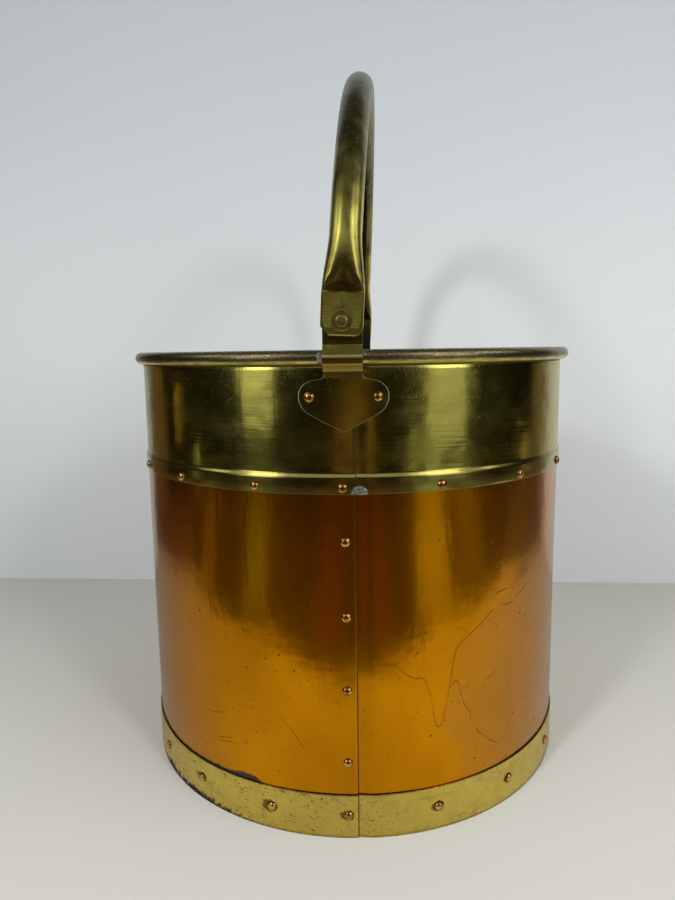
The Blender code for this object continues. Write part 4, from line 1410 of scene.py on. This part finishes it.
def dark_ring_disc(tree, radius):
    """A thin ragged dark disc round the head's foot: dirt, and painted shade where it meets the sheet.
    """
    sockets = {"Vertices": 40, "Radius": 1.0}
    disc = add(tree, "GeometryNodeMeshCircle", sockets, fill_type="TRIANGLE_FAN")
    place = position(tree)
    sockets = {"Vector": place, "Scale": DARK_RING_WAVES, "Detail": 3.0}
    ragged = add(tree, "ShaderNodeTexNoise", sockets)
    reach = (Value(tree, ragged.outputs[0]) * DARK_RING_MORE + DARK_RING_LEAST) * radius
    spread = add(tree, "ShaderNodeVectorMath", {0: place, "Scale": reach}, operation="SCALE")
    sockets = {0: spread.outputs[0], 1: (0, 0, 0.00003)}
    raised = add(tree, "ShaderNodeVectorMath", sockets, operation="ADD")
    return moved(tree, disc.outputs[0], Position=raised.outputs[0])


def rivet_tree():
    floats = ("Head Radius", "Head Height", "Shank Radius", "Grip", "Tail Radius", "Tail Height",
              "Dark Ring Radius")
    inputs = [(name, "Float") for name in floats] + [("Seed", "Int"), ("Material", "Material")]
    tree, size, result = node_group("rivets", inputs)
    under = size["Grip"] * -1.0
    head = flattened_ball(tree, size["Head Radius"], size["Head Height"], 0.0, Value.at_least)
    tail = flattened_ball(tree, size["Tail Radius"], size["Tail Height"], under, Value.at_most)
    sockets = {"Vertices": 12, "Radius": size["Shank Radius"], "Depth": size["Grip"]}
    pin = add(tree, "GeometryNodeMeshCylinder", sockets).outputs[0]
    sockets = {"Geometry": pin, "Translation": vector(tree, z=under * 0.5)}
    shank = add(tree, "GeometryNodeTransform", sockets).outputs[0]
    joined = tree.nodes.new("GeometryNodeJoinGeometry")
    for piece in (head, tail, shank, dark_ring_disc(tree, size["Dark Ring Radius"])):
        tree.links.new(piece, joined.inputs[0])
    crown = axes(tree, position(tree))[2] / size["Head Height"]
    sockets = {"Geometry": joined.outputs[0], "Name": "crown", "Value": crown}
    kept = add(tree, "GeometryNodeStoreNamedAttribute", sockets, data_type="FLOAT").outputs[0]
    sizes = {2: HEAD_SMALL, 3: HEAD_LARGE, "Seed": size["Seed"]}
    scale = add(tree, "FunctionNodeRandomValue", sizes)
    set_in = set_out(tree, size["Geometry"], kept, scale.outputs[1])
    sockets = {"Min": (-TILT, -TILT, -HALF_TURN), "Max": (TILT, TILT, HALF_TURN), "Seed": size["Seed"]}
    tilt = add(tree, "FunctionNodeRandomValue", sockets, data_type="FLOAT_VECTOR")
    tilt_by = add(tree, "FunctionNodeEulerToRotation", {0: tilt.outputs[0]}).outputs[0]
    sockets = {"Instances": set_in, "Rotation": tilt_by}
    tilted = add(tree, "GeometryNodeRotateInstances", sockets).outputs[0]
    whole = add(tree, "GeometryNodeRealizeInstances", {"Geometry": tilted}).outputs[0]
    return finished(tree, whole, size["Material"], result)


setting = rivet_tree()

# %% Where the rivets go
RING_RIVETS = 16
COLLAR_RIVETS_FRONT = (-63.8, -41.9, -19.8, -0.4, 21.0, 43.3, 67.2)
BASE_RIVETS_FRONT = (-57.7, -39.1, -17.9, 0, 20.9, 42.0, 63.1)
COLLAR_RIVET_HEIGHT = 0.2106
BASE_RIVET_HEIGHT = 0.0148
SEAM_SHARES = (0.112, 0.360, 0.606, 0.849)
PLATE_RIVET_HEIGHT = 0.2604
PLATE_RIVET_SIDEWAYS = 0.01835


def ring_spots(front, height):
    """The listed rivets, then an even row round the back, as (azimuth, height)."""
    back = even(front[-1], front[0] + 360, RING_RIVETS - len(front) + 1)[1:-1]
    return [(SEAM_AZIMUTH + math.radians(turn), height) for turn in (*front, *back)]


collar_spots = ring_spots(COLLAR_RIVETS_FRONT, COLLAR_RIVET_HEIGHT)
base_spots = ring_spots(BASE_RIVETS_FRONT, BASE_RIVET_HEIGHT)
copper_shown = COLLAR_BOTTOM - BAND_TOP
seam_spots = [(SEAM_AZIMUTH, BAND_TOP + share * copper_shown) for share in SEAM_SHARES]
plate_xs = [PIVOT_OFFSET + side * PLATE_RIVET_SIDEWAYS for side in (-1, 1)]
plate_spots = [(math.asin(x / BODY_RADIUS), PLATE_RIVET_HEIGHT) for x in plate_xs]
plate_spots += [(math.pi - azimuth, height) for azimuth, height in plate_spots]
print("rivets:", len(collar_spots) + len(base_spots) + len(seam_spots) + len(plate_spots))

# %% Set the rivets
RIVET_SIZES = {
    "Head Radius": 0.0028,
    "Head Height": 0.0019,
    "Shank Radius": 0.0012,
    "Tail Radius": 0.0021,
    "Tail Height": 0.0008,
    "Material": RIVET_COPPER,
}


def rivets(name, spots, surface, seed, grip, dirt=0.0030):
    """spots: (azimuth, height); surface is the radius under the heads; dirt is the radius of the dark
    ring of dirt and painted shade round each head.
    """
    places = [around(surface + sway(azimuth, height), azimuth, height) for azimuth, height in spots]
    points = points_mesh(name + "_points", places, turn=[(math.pi / 2, 0.0, spot[0]) for spot in spots])
    values = {**RIVET_SIZES, "Grip": grip, "Dark Ring Radius": dirt, "Seed": seed}
    return grown(name, points, setting, values)


collar_rivets = rivets("collar_rivets", collar_spots, BODY_RADIUS + STEP, 1, 0.0030)
base_rivets = rivets("base_rivets", base_spots, BODY_RADIUS + STEP, 2, 0.0040, 0.0035)
seam_rivets = rivets("seam_rivets", seam_spots, BODY_RADIUS, 3, 0.0020)
strap_rivets = rivets("strap_rivets", plate_spots, BODY_RADIUS + GAP + STRAP_SHEET, 4, 0.0026)

# %% [markdown]
# ## Marks of use
#
# Tin solder was run into the corner where the collar's lap meets its lower edge, and beside
# the strap on the rim. Both are low domes with an uneven outline, lying on the metal.

# %% Solder
SEAM_SOLDER = (math.radians(4.05), 0.0047, 0.0050, 0.00045)  # azimuth, half width, height, thickness
RIM_SOLDER_THICK = 0.00014
UNDER_THICK = -0.6  # how far a lump's underside lies in the metal, as a share of its thickness
RAGGED, RAGGED_ROUND, RAGGED_SEED = 0.10, 2.2, 5


def dome(name, place_of, half=False, rings=8, spokes=36):
    """A low lump; place_of(across, up, thick) puts a point, with all three from -1 to 1."""
    over = [(share, math.sqrt(max(0, 1 - share * share))) for share in even(0, 1, rings)]
    under = [(share, UNDER_THICK) for share in even(1, 0, rings)[1:]]
    sections, marks = [], []
    for turn in even(0, math.pi if half else math.tau, spokes):
        east, north = math.cos(turn), math.sin(turn)
        spot = Vector((RAGGED_ROUND * east, RAGGED_ROUND * north, RAGGED_SEED))
        ragged = 1 + RAGGED * noise.noise(spot)
        line = over + under
        sections.append([place_of(ragged * s * east, ragged * s * north, thick) for s, thick in line])
        marks.append([(index * 0.001, turn * 0.001) for index in range(len(line))])
    return object_of(name, sealed(loft(sections, marks)), SOLDER)


def on_collar_edge(across, up, thick):
    azimuth, half_width, height, deep = SEAM_SOLDER
    azimuth += across * half_width / BODY_RADIUS
    return around(BODY_RADIUS + STEP + thick * deep, azimuth, COLLAR_BOTTOM - 0.0002 + up * height)


def on_roll(middle, half_width, low, high):
    """A spot on the rolled rim; low and high are angles up its outside."""

    def place_of(across, up, thick):
        turn = (low + high) / 2 + up * (high - low) / 2
        reach, height = on_circle(ROLL_RADIUS + thick * RIM_SOLDER_THICK, turn)
        return around(reach, (middle + across * half_width) / BODY_RADIUS, height)

    return place_of


seam_solder = dome("seam_solder", on_collar_edge, half=True)
rim_solder_left = dome("rim_solder_left", on_roll(-0.0094, 0.0015, -1.2, 0.9))
rim_solder_right = dome("rim_solder_right", on_roll(0.0136, 0.0008, 0.1, 1.0))
print("solder:", len(seam_solder.data.polygons), "faces at the seam")

# %% [markdown]
# The lacquer dried with a raised edge where it ran, and the copper has a crack and some
# scores. Each is a thin bead that follows the wall, with both of its ends tapered.

# %% Beads that follow the wall
BEAD_SIDES = 6
TAPER = 0.35  # width of a bead's end, and what each further point adds to it


def bead(bm, line, half_width, proud):
    """A closed strip along (azimuth in degrees, height) points, tapered at both ends."""
    places = [(math.radians(turn), height) for turn, height in line]
    path = [around(BODY_RADIUS + sway(azimuth, z), azimuth, z) for azimuth, z in places]
    rings = []
    for index, point in enumerate(path):
        ahead = path[min(index + 1, len(path) - 1)] - path[max(index - 1, 0)]
        out = Vector((point.x, point.y, 0)).normalized()
        near_end = min(index, len(path) - 1 - index)
        wide = ahead.cross(out).normalized() * half_width * min(1.0, TAPER + TAPER * near_end)
        turns = even(0, math.tau, BEAD_SIDES)[:-1]
        ring = [point + wide * math.cos(turn) + out * proud * math.sin(turn) for turn in turns]
        rings.append([bm.verts.new(corner) for corner in ring])
    for here, ahead in zip(rings, rings[1:]):
        for index in range(BEAD_SIDES):
            after = (index + 1) % BEAD_SIDES
            bm.faces.new((here[index], here[after], ahead[after], ahead[index]))
    bm.faces.new(list(reversed(rings[0])))
    bm.faces.new(rings[-1])


def beads(name, lines, half_width, proud, material):
    bm = bmesh.new()
    for line in lines:
        bead(bm, flowing(line, 4), half_width, proud)
    bmesh.ops.recalc_face_normals(bm, faces=bm.faces)
    made = object_of(name, bm, material, sharp=80)
    print(name, len(made.data.polygons), "faces")
    return made


# %% Where the lacquer ran, the crack and the scratches lie
LACQUER_RUN = (
    (11.5, 0.1070), (13.1, 0.1023), (14.9, 0.0989), (16.3, 0.0972), (17.3, 0.0974),
    (18.1, 0.0961), (18.8, 0.0930), (19.7, 0.0856), (20.4, 0.0764), (20.9, 0.0687),
    (21.3, 0.0659), (21.9, 0.0650), (22.5, 0.0661), (23.1, 0.0721), (23.8, 0.0799),
    (24.4, 0.0870), (24.9, 0.0956), (25.4, 0.1034), (25.9, 0.1090), (26.9, 0.1140),
    (28.9, 0.1173), (31.2, 0.1212), (33.9, 0.1259), (35.3, 0.1284), (37.2, 0.1314),
)
SMALL_RUNS = (
    ((37.1, 0.1395), (39.0, 0.1406), (41.5, 0.1410)),
    ((41.5, 0.1444), (43.3, 0.1395), (44.5, 0.1333), (45.5, 0.1350), (47.8, 0.1369), (49.1, 0.1387)),
    ((39.1, 0.1324), (40.8, 0.1306), (43.7, 0.1317)),
)
CRACK = (
    (25.0, 0.0882), (25.6, 0.0914), (26.3, 0.0915), (27.1, 0.0885), (27.3, 0.0845),
    (27.9, 0.0798), (28.6, 0.0747), (30.0, 0.0701), (30.3, 0.0645), (31.7, 0.0590),
    (32.6, 0.0550), (33.9, 0.0519), (36.1, 0.0468), (39.0, 0.0418),
)
CRACK_PIECES = (CRACK[:6], CRACK[5:9], CRACK[9:12], CRACK[11:])
SCRATCHES = (
    ((33.0, 0.0824), (33.7, 0.0833), (34.4, 0.0844)),
    ((34.4, 0.0869), (36.5, 0.0886), (38.0, 0.0913)),
    ((-14.4, 0.0741), (-13.5, 0.0696), (-11.7, 0.0650), (-8.5, 0.0528)),
    ((-32.4, 0.0480), (-30.0, 0.0499), (-27.4, 0.0513)),
    ((-33.0, 0.0455), (-29.0, 0.0478), (-25.7, 0.0490)),
    ((-35.5, 0.0632), (-32.6, 0.0646), (-29.7, 0.0662)),
    ((-20.0, 0.1109), (-19.6, 0.1101), (-19.2, 0.1093)),
    ((-15.9, 0.1011), (-15.2, 0.1010), (-14.5, 0.1009)),
    ((-21.5, 0.0816), (-21.0, 0.0806), (-20.6, 0.0796)),
)
BEAD_GRAIN = {"seed": 71.0, "detail": 3, "lump": 0.0012, "depth": 0.00002}
LACQUER = lumpy_finish("dried_lacquer", (0.50, 0.190, 0.004, 1), COPPER_DULL, 0.16, 0.006, **BEAD_GRAIN)
CRACK_EDGE = lumpy_finish("crack_edge", SPECK, COPPER_DEEP, 0.4, 0.006, **BEAD_GRAIN)
lacquer_edge = beads("lacquer_edge", (LACQUER_RUN,), 0.00050, 0.00012, LACQUER)
lacquer_drips = beads("lacquer_drips", SMALL_RUNS, 0.00035, 0.00009, LACQUER)
crack = beads("copper_crack", CRACK_PIECES, 0.00020, 0.00008, CRACK_EDGE)
scores = beads("copper_scores", SCRATCHES, 0.00016, 0.00007, CRACK_EDGE)

# %% [markdown]
# ## Hand the pieces to the frame
#
# Every piece says which CAD solids it stands for, which are hidden, which body it moves with,
# and one of the part's finishes, which nothing here reads. A mark on a surface stands for no solid.

# %% Bodies, replaced solids and slots
def numbered(prefix, count, digits=2):
    return [f"{prefix}_{index:0{digits}d}" for index in range(1, count + 1)]


brackets = [f"{end}_bracket_rivet_{side}" for end in ("front", "rear") for side in ("left", "right")]
PIECES = [
    (copper_wall, "bucket", "copper", ["copper_body"]),
    (collar, "bucket", "brass", ["brass_collar"]),
    (rim_wire, "bucket", "iron_wire", ["rim_wire"]),
    (base_band, "bucket", "brass", ["base_band"]),
    (bottom_disc, "bucket", "brass_inside", ["bottom_plate"]),
    (front_strap, "bucket", "brass", ["front_bracket"]),
    (rear_strap, "bucket", "brass", ["rear_bracket"]),
    (handle_tube, "handle", "brass", ["bail_handle"]),
    (handle_grips, "handle", "brass", []),
    (washers[0], "handle", "brass", ["front_pivot_washer"]),
    (washers[1], "handle", "brass", ["rear_pivot_washer"]),
    (pivots[0], "bucket", "brass", ["front_pivot_rivet"]),
    (pivots[1], "bucket", "brass", ["rear_pivot_rivet"]),
    (collar_rivets, "bucket", "rivet_copper", numbered("collar_rivet", RING_RIVETS)),
    (base_rivets, "bucket", "rivet_copper", numbered("base_rivet", RING_RIVETS)),
    (seam_rivets, "bucket", "rivet_copper", numbered("seam_rivet", 4, 1)),
    (strap_rivets, "bucket", "rivet_copper", brackets),
]
MARKS = {
    "iron_wire": (seam_solder, rim_solder_left, rim_solder_right),
    "copper": (lacquer_edge, lacquer_drips, crack, scores),
}
for finish_slot, listed in MARKS.items():
    PIECES += [(made, "bucket", finish_slot, []) for made in listed]
for piece, body, finish_slot, stands_for in PIECES:
    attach(piece, body)
    if stands_for:
        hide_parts(*stands_for)
print(len(PIECES), "pieces ride on the frame")

# %% [markdown]
# ## The studio
#
# Polished metal is a picture of its room. The bucket stands on a pale table against a pale
# wall, painted a little darker towards its top as painted shade, with a large soft light on
# either side of the front. Dark cloths out of the camera's sight, in front and at the sides,
# give the metal the dark it needs to look like metal.

# %% Floor and wall
TABLE_LEFT, TABLE_RIGHT = -0.56, 0.58
TABLE_FRONT, WALL_PLACE = -0.35, 0.30
WALL_HIGH = 1.05
WALL_FADE = (0.22, 0.72)
MATT_ROUGH, MATT_SHINE = 0.7, 0.2
FLOOR_TONE = tone(194, 193, 186)
WALL_TONE = tone(200, 204, 206)
WALL_TOP_PAINTED_SHADE = tone(174, 180, 184)


def matt(name, color):
    """A plain cloth or paint; returns the material, its tree and its shader."""
    material = bpy.data.materials.new(name)
    material.use_nodes = True
    shader = material.node_tree.nodes["Principled BSDF"]
    shader.inputs["Base Color"].default_value = color
    shader.inputs["Roughness"].default_value = MATT_ROUGH
    shader.inputs["Specular IOR Level"].default_value = MATT_SHINE
    return material, material.node_tree, shader


def object_axes(tree):
    return axes(tree, add(tree, "ShaderNodeTexCoord").outputs["Object"])


def one_sided(tree, shader):
    """Lets light and sight through from behind."""
    clear = add(tree, "ShaderNodeBsdfTransparent").outputs[0]
    behind = add(tree, "ShaderNodeNewGeometry").outputs["Backfacing"]
    both = add(tree, "ShaderNodeMixShader", {0: behind, 1: shader.outputs[0], 2: clear})
    tree.links.new(both.outputs[0], tree.nodes["Material Output"].inputs[0])


def panels(name, corners_list, material):
    """Flat rectangles, each by its four corners."""
    bm = bmesh.new()
    for corners in corners_list:
        bm.faces.new([bm.verts.new(corner) for corner in corners])
    made = object_of(name, bm, material)
    return made


def level(left, right, front, back, height):
    """Corners of a rectangle that lies flat."""
    return ((left, front, height), (right, front, height), (right, back, height), (left, back, height))


def upright(left, right, place, low, high):
    """Corners of a rectangle that stands and faces the front."""
    return ((left, place, low), (right, place, low), (right, place, high), (left, place, high))


floor = panels("floor", [level(-4, 4, -4, 4, 0)], matt("pale_floor", FLOOR_TONE)[0])
pale_wall, tree, shader = matt("pale_wall", WALL_TONE)
one_sided(tree, shader)
# Painted shade: the wall is painted darker towards its top.
wall_color = mixed(tree, object_axes(tree)[2].step(*WALL_FADE), WALL_TONE, WALL_TOP_PAINTED_SHADE)
tree.links.new(wall_color, shader.inputs["Base Color"])
wall = panels("wall", [upright(-3, 3, WALL_PLACE, 0, WALL_HIGH)], pale_wall)
print("floor and wall:", floor.name, wall.name)

# %% [markdown]
# The metal alone sees another table, painted darker than the floor as painted shade, with a
# painted shadow under the front of the bucket and more painted shade far to the left, and brown
# panels where it ends. Dark cloth closes the room beyond.

# %% Cloths that only the metal sees
ROOM = 1.7
LIFT = 0.0008
BOARD_LEFT, BOARD_RIGHT = -0.47, 0.60
BROWN_HIGH = 0.34
TABLE_PAINTED_SHADOW = (0.41, 0.40, 0.35, 1)
TABLE_ASIDE = (0.48, 0.47, 0.42, 1)
TABLE_PAINTED_SHADE_LEFT = (0.39, 0.375, 0.33, 1)


def unseen(name, corners_list, color=None, material=None):
    """A piece of the studio for the metal alone; it takes no light from the bucket."""
    made = panels(name, corners_list, material or matt(name, color)[0])
    made.visible_camera = False
    made.visible_diffuse = False
    made.visible_shadow = False
    made.visible_transmission = False
    print("cloth:", name, len(corners_list), "pieces")


def facing_side(place):
    """Corners of a whole side of the room."""
    ends = ((-ROOM, 0), (WALL_PLACE, 0), (WALL_PLACE, WALL_HIGH), (-ROOM, WALL_HIGH))
    return [(place, y, z) for y, z in ends]


def corner(x, y, cut_x, cut_y):
    """Cuts a corner of the table off with a triangle of cloth."""
    return ((x, y, LIFT), (x + cut_x, y, LIFT), (x, y + cut_y, LIFT))


def shaded_table():
    """The table as the metal sees it, with painted shade: a painted shadow under the front of the
    bucket, and darker far to the left.
    """
    material, tree, shader = matt("shaded_table", FLOOR_TONE)
    across = object_axes(tree)[0]
    # Painted shadow under the front of the bucket, and painted shade far to the left.
    color = mixed(tree, abs(across).step(0.01, 0.11), TABLE_PAINTED_SHADOW, TABLE_ASIDE)
    color = mixed(tree, across.step(-0.09, -0.24), color, TABLE_PAINTED_SHADE_LEFT)
    tree.links.new(color, shader.inputs["Base Color"])
    return material


wall_face, over = WALL_PLACE - 2 * LIFT, 2 * LIFT
table = [level(TABLE_LEFT, TABLE_RIGHT, TABLE_FRONT, WALL_PLACE, LIFT / 2)]
brown_left = [
    upright(-0.98, -0.50, wall_face, 0, BROWN_HIGH),
    level(-1.0, TABLE_LEFT, -0.10, WALL_PLACE, over),
]
brown_right = [
    upright(0.62, 1.0, wall_face, 0, BROWN_HIGH),
    level(TABLE_RIGHT, 1.0, 0.08, WALL_PLACE, over),
]
ground = [
    level(-ROOM, ROOM, -ROOM, TABLE_FRONT, LIFT),
    level(-ROOM, TABLE_LEFT, TABLE_FRONT, WALL_PLACE, LIFT),
    level(TABLE_RIGHT, ROOM, TABLE_FRONT, WALL_PLACE, LIFT),
    corner(TABLE_LEFT, TABLE_FRONT, 0.34, 0.26),
    corner(TABLE_RIGHT, TABLE_FRONT, -0.30, 0.24),
]
sides = [
    upright(-ROOM, ROOM, -ROOM, 0, WALL_HIGH),
    upright(-ROOM, BOARD_LEFT, WALL_PLACE - LIFT, 0, WALL_HIGH),
    upright(BOARD_RIGHT, ROOM, WALL_PLACE - LIFT, 0, WALL_HIGH),
    facing_side(-ROOM),
    facing_side(ROOM),
]
unseen("shaded_table", table, material=shaded_table())
unseen("brown_left", brown_left, (0.135, 0.074, 0.023, 1))
unseen("brown_right", brown_right, (0.125, 0.082, 0.038, 1))
unseen("brown_cloth", ground, (0.048, 0.033, 0.022, 1))
unseen("dark_cloth", sides, (0.010, 0.009, 0.007, 1))

# %% [markdown]
# Plain dark cloth would leave the polished wall lifeless. A few narrow strips of paler cloth
# run outwards along the ground, and each one shows in the copper as an upright streak. Cloth
# hung at the sides and in front does the same for the collar.

# %% Strips and hangings of paler cloth
def aside_of(azimuth, half_width):
    return Vector((math.cos(azimuth), math.sin(azimuth), 0)) * half_width


def ray_strip(azimuth, near, far, half_width):
    """A strip of ground that runs away from the bucket; azimuth in degrees."""
    turn = math.radians(azimuth)
    aside = aside_of(turn, half_width)
    start, stop = around(near, turn, 2 * LIFT), around(far, turn, 2 * LIFT)
    return [start - aside, start + aside, stop + aside * 2, stop - aside * 2]


def hanging(azimuth, distance, half_width, low, high):
    """An upright strip of cloth that faces the bucket."""
    turn = math.radians(azimuth)
    aside = aside_of(turn, half_width)
    foot, head = around(distance, turn, low), around(distance, turn, high)
    return [foot - aside, foot + aside, head + aside, head - aside]


low_red = [ray_strip(13, 0.40, 1.5, 0.045), ray_strip(-8, 0.40, 1.5, 0.05)]
low_drab = [ray_strip(60, 0.58, 1.5, 0.070), ray_strip(92, 0.62, 1.2, 0.07)]
tan = [hanging(3, 1.3, 0.24, 0.02, 0.115), hanging(4, 1.3, 0.13, 0.115, 0.22)]
pale = [hanging(-80, 1.2, 0.05, 0.0, 0.09), hanging(31, 1.3, 0.055, 0.0, 0.11)]
unseen("cream_strip", [ray_strip(39, 0.47, 1.5, 0.072)], (0.27, 0.28, 0.17, 1))
unseen("olive_strip", [ray_strip(-42, 0.47, 1.5, 0.050)], (0.135, 0.165, 0.10, 1))
unseen("grey_strip", [ray_strip(-70, 0.50, 1.5, 0.040)], (0.17, 0.130, 0.06, 1))
unseen("red_strip", low_red, (0.09, 0.040, 0.012, 1))
unseen("drab_strip", low_drab, (0.10, 0.090, 0.065, 1))
unseen("tan_hanging", tan, (0.235, 0.126, 0.040, 1))
unseen("yellow_hanging", [hanging(-94, 1.2, 0.055, 0.12, 0.22)], (0.42, 0.26, 0.06, 1))
unseen("pale_hanging", pale, (0.46, 0.43, 0.30, 1))
unseen("brown_hanging", [hanging(104, 1.2, 0.20, 0.0, 0.09)], (0.36, 0.26, 0.14, 1))

# %% [markdown]
# Two tall windows, a glow in front and two side lights are mirrored in the metal. The other
# lamps only fill the shadows and light the room, and the metal doesn't show them.

# %% Lights and the room above
LAMP_AIM = Vector((0, 0, 0.2))
ROOM_LIGHT = (0.97, 0.985, 1.0, 1)
ROOM_STRENGTH = 0.11
LAMPS = (
    # name, azimuth, distance, height, width, height of the light, power, mirrored
    ("left_window", -43, 1.25, 0.78, 0.36, 0.96, 2.6, True),
    ("left_window_low", -43, 1.27, 0.22, 0.36, 0.16, 0.12, True),
    ("right_window", 48.5, 1.25, 0.77, 0.50, 0.98, 3.3, True),
    ("right_window_low", 48.5, 1.27, 0.17, 0.50, 0.22, 0.15, True),
    ("front_glow", 0, 1.30, 0.98, 1.30, 0.66, 0.70, True),
    ("left_side_light", -72, 1.25, 0.95, 0.36, 0.50, 0.8, True),
    ("right_side_light", 80, 1.25, 0.95, 0.36, 0.50, 0.95, True),
    ("left_lamp", -27, 0.80, 0.66, 0.10, 0.12, 4.0, False),
    ("right_lamp", 31, 0.80, 0.67, 0.12, 0.14, 2.6, False),
    ("right_fill", 62, 1.15, 0.42, 0.9, 0.7, 5.2, False),
    ("left_fill", -60, 1.15, 0.42, 0.7, 0.7, 2.0, False),
    ("ceiling_lamp", 75, 0.75, 1.9, 2.0, 2.0, 7.0, False),
)
for name, azimuth, distance, height, width, tall, power, mirrored in LAMPS:
    light = bpy.data.lights.new(name, "AREA")
    light.shape = "RECTANGLE"
    light.size, light.size_y = width, tall
    light.energy = power
    made = linked(name, light)
    made.location = around(distance, math.radians(azimuth), height)
    made.rotation_euler = (LAMP_AIM - made.location).to_track_quat("-Z", "Y").to_euler()
    made.visible_glossy = mirrored

world = bpy.data.worlds.new("room")
world.use_nodes = True
sky = world.node_tree.nodes["Background"].inputs
sky["Color"].default_value = ROOM_LIGHT
sky["Strength"].default_value = ROOM_STRENGTH
bpy.context.scene.world = world
print("lamps:", len(LAMPS))

# %% [markdown]
# The camera stands where the photograph was taken from: low, close, and just above the rim.
# Its turn is written as the three angles that a photographer would name.

# %% Camera
CAMERA_PLACE = (0.02189, -0.51163, 0.2851)
LOOK_RIGHT = math.radians(-3.648)
LOOK_DOWN = 0.1463
ROLL = -0.0142
LENS, FILM_WIDTH = 27.04, 36  # millimetres
NEAREST = 0.01
camera_data = bpy.data.cameras.new("camera")
camera_data.lens = LENS
camera_data.sensor_width = FILM_WIDTH
camera_data.clip_start = NEAREST
camera = linked("camera", camera_data)
facing = Matrix.Rotation(-LOOK_RIGHT, 3, "Z") @ Matrix.Rotation(math.pi / 2 - LOOK_DOWN, 3, "X")
turned_camera = facing @ Matrix.Rotation(ROLL, 3, "Z")
camera.matrix_world = Matrix.Translation(CAMERA_PLACE) @ turned_camera.to_4x4()
bpy.context.scene.camera = camera
bpy.context.scene.view_settings.view_transform = "Standard"
print("camera at", [round(part, 3) for part in camera.location])

# %% [markdown]
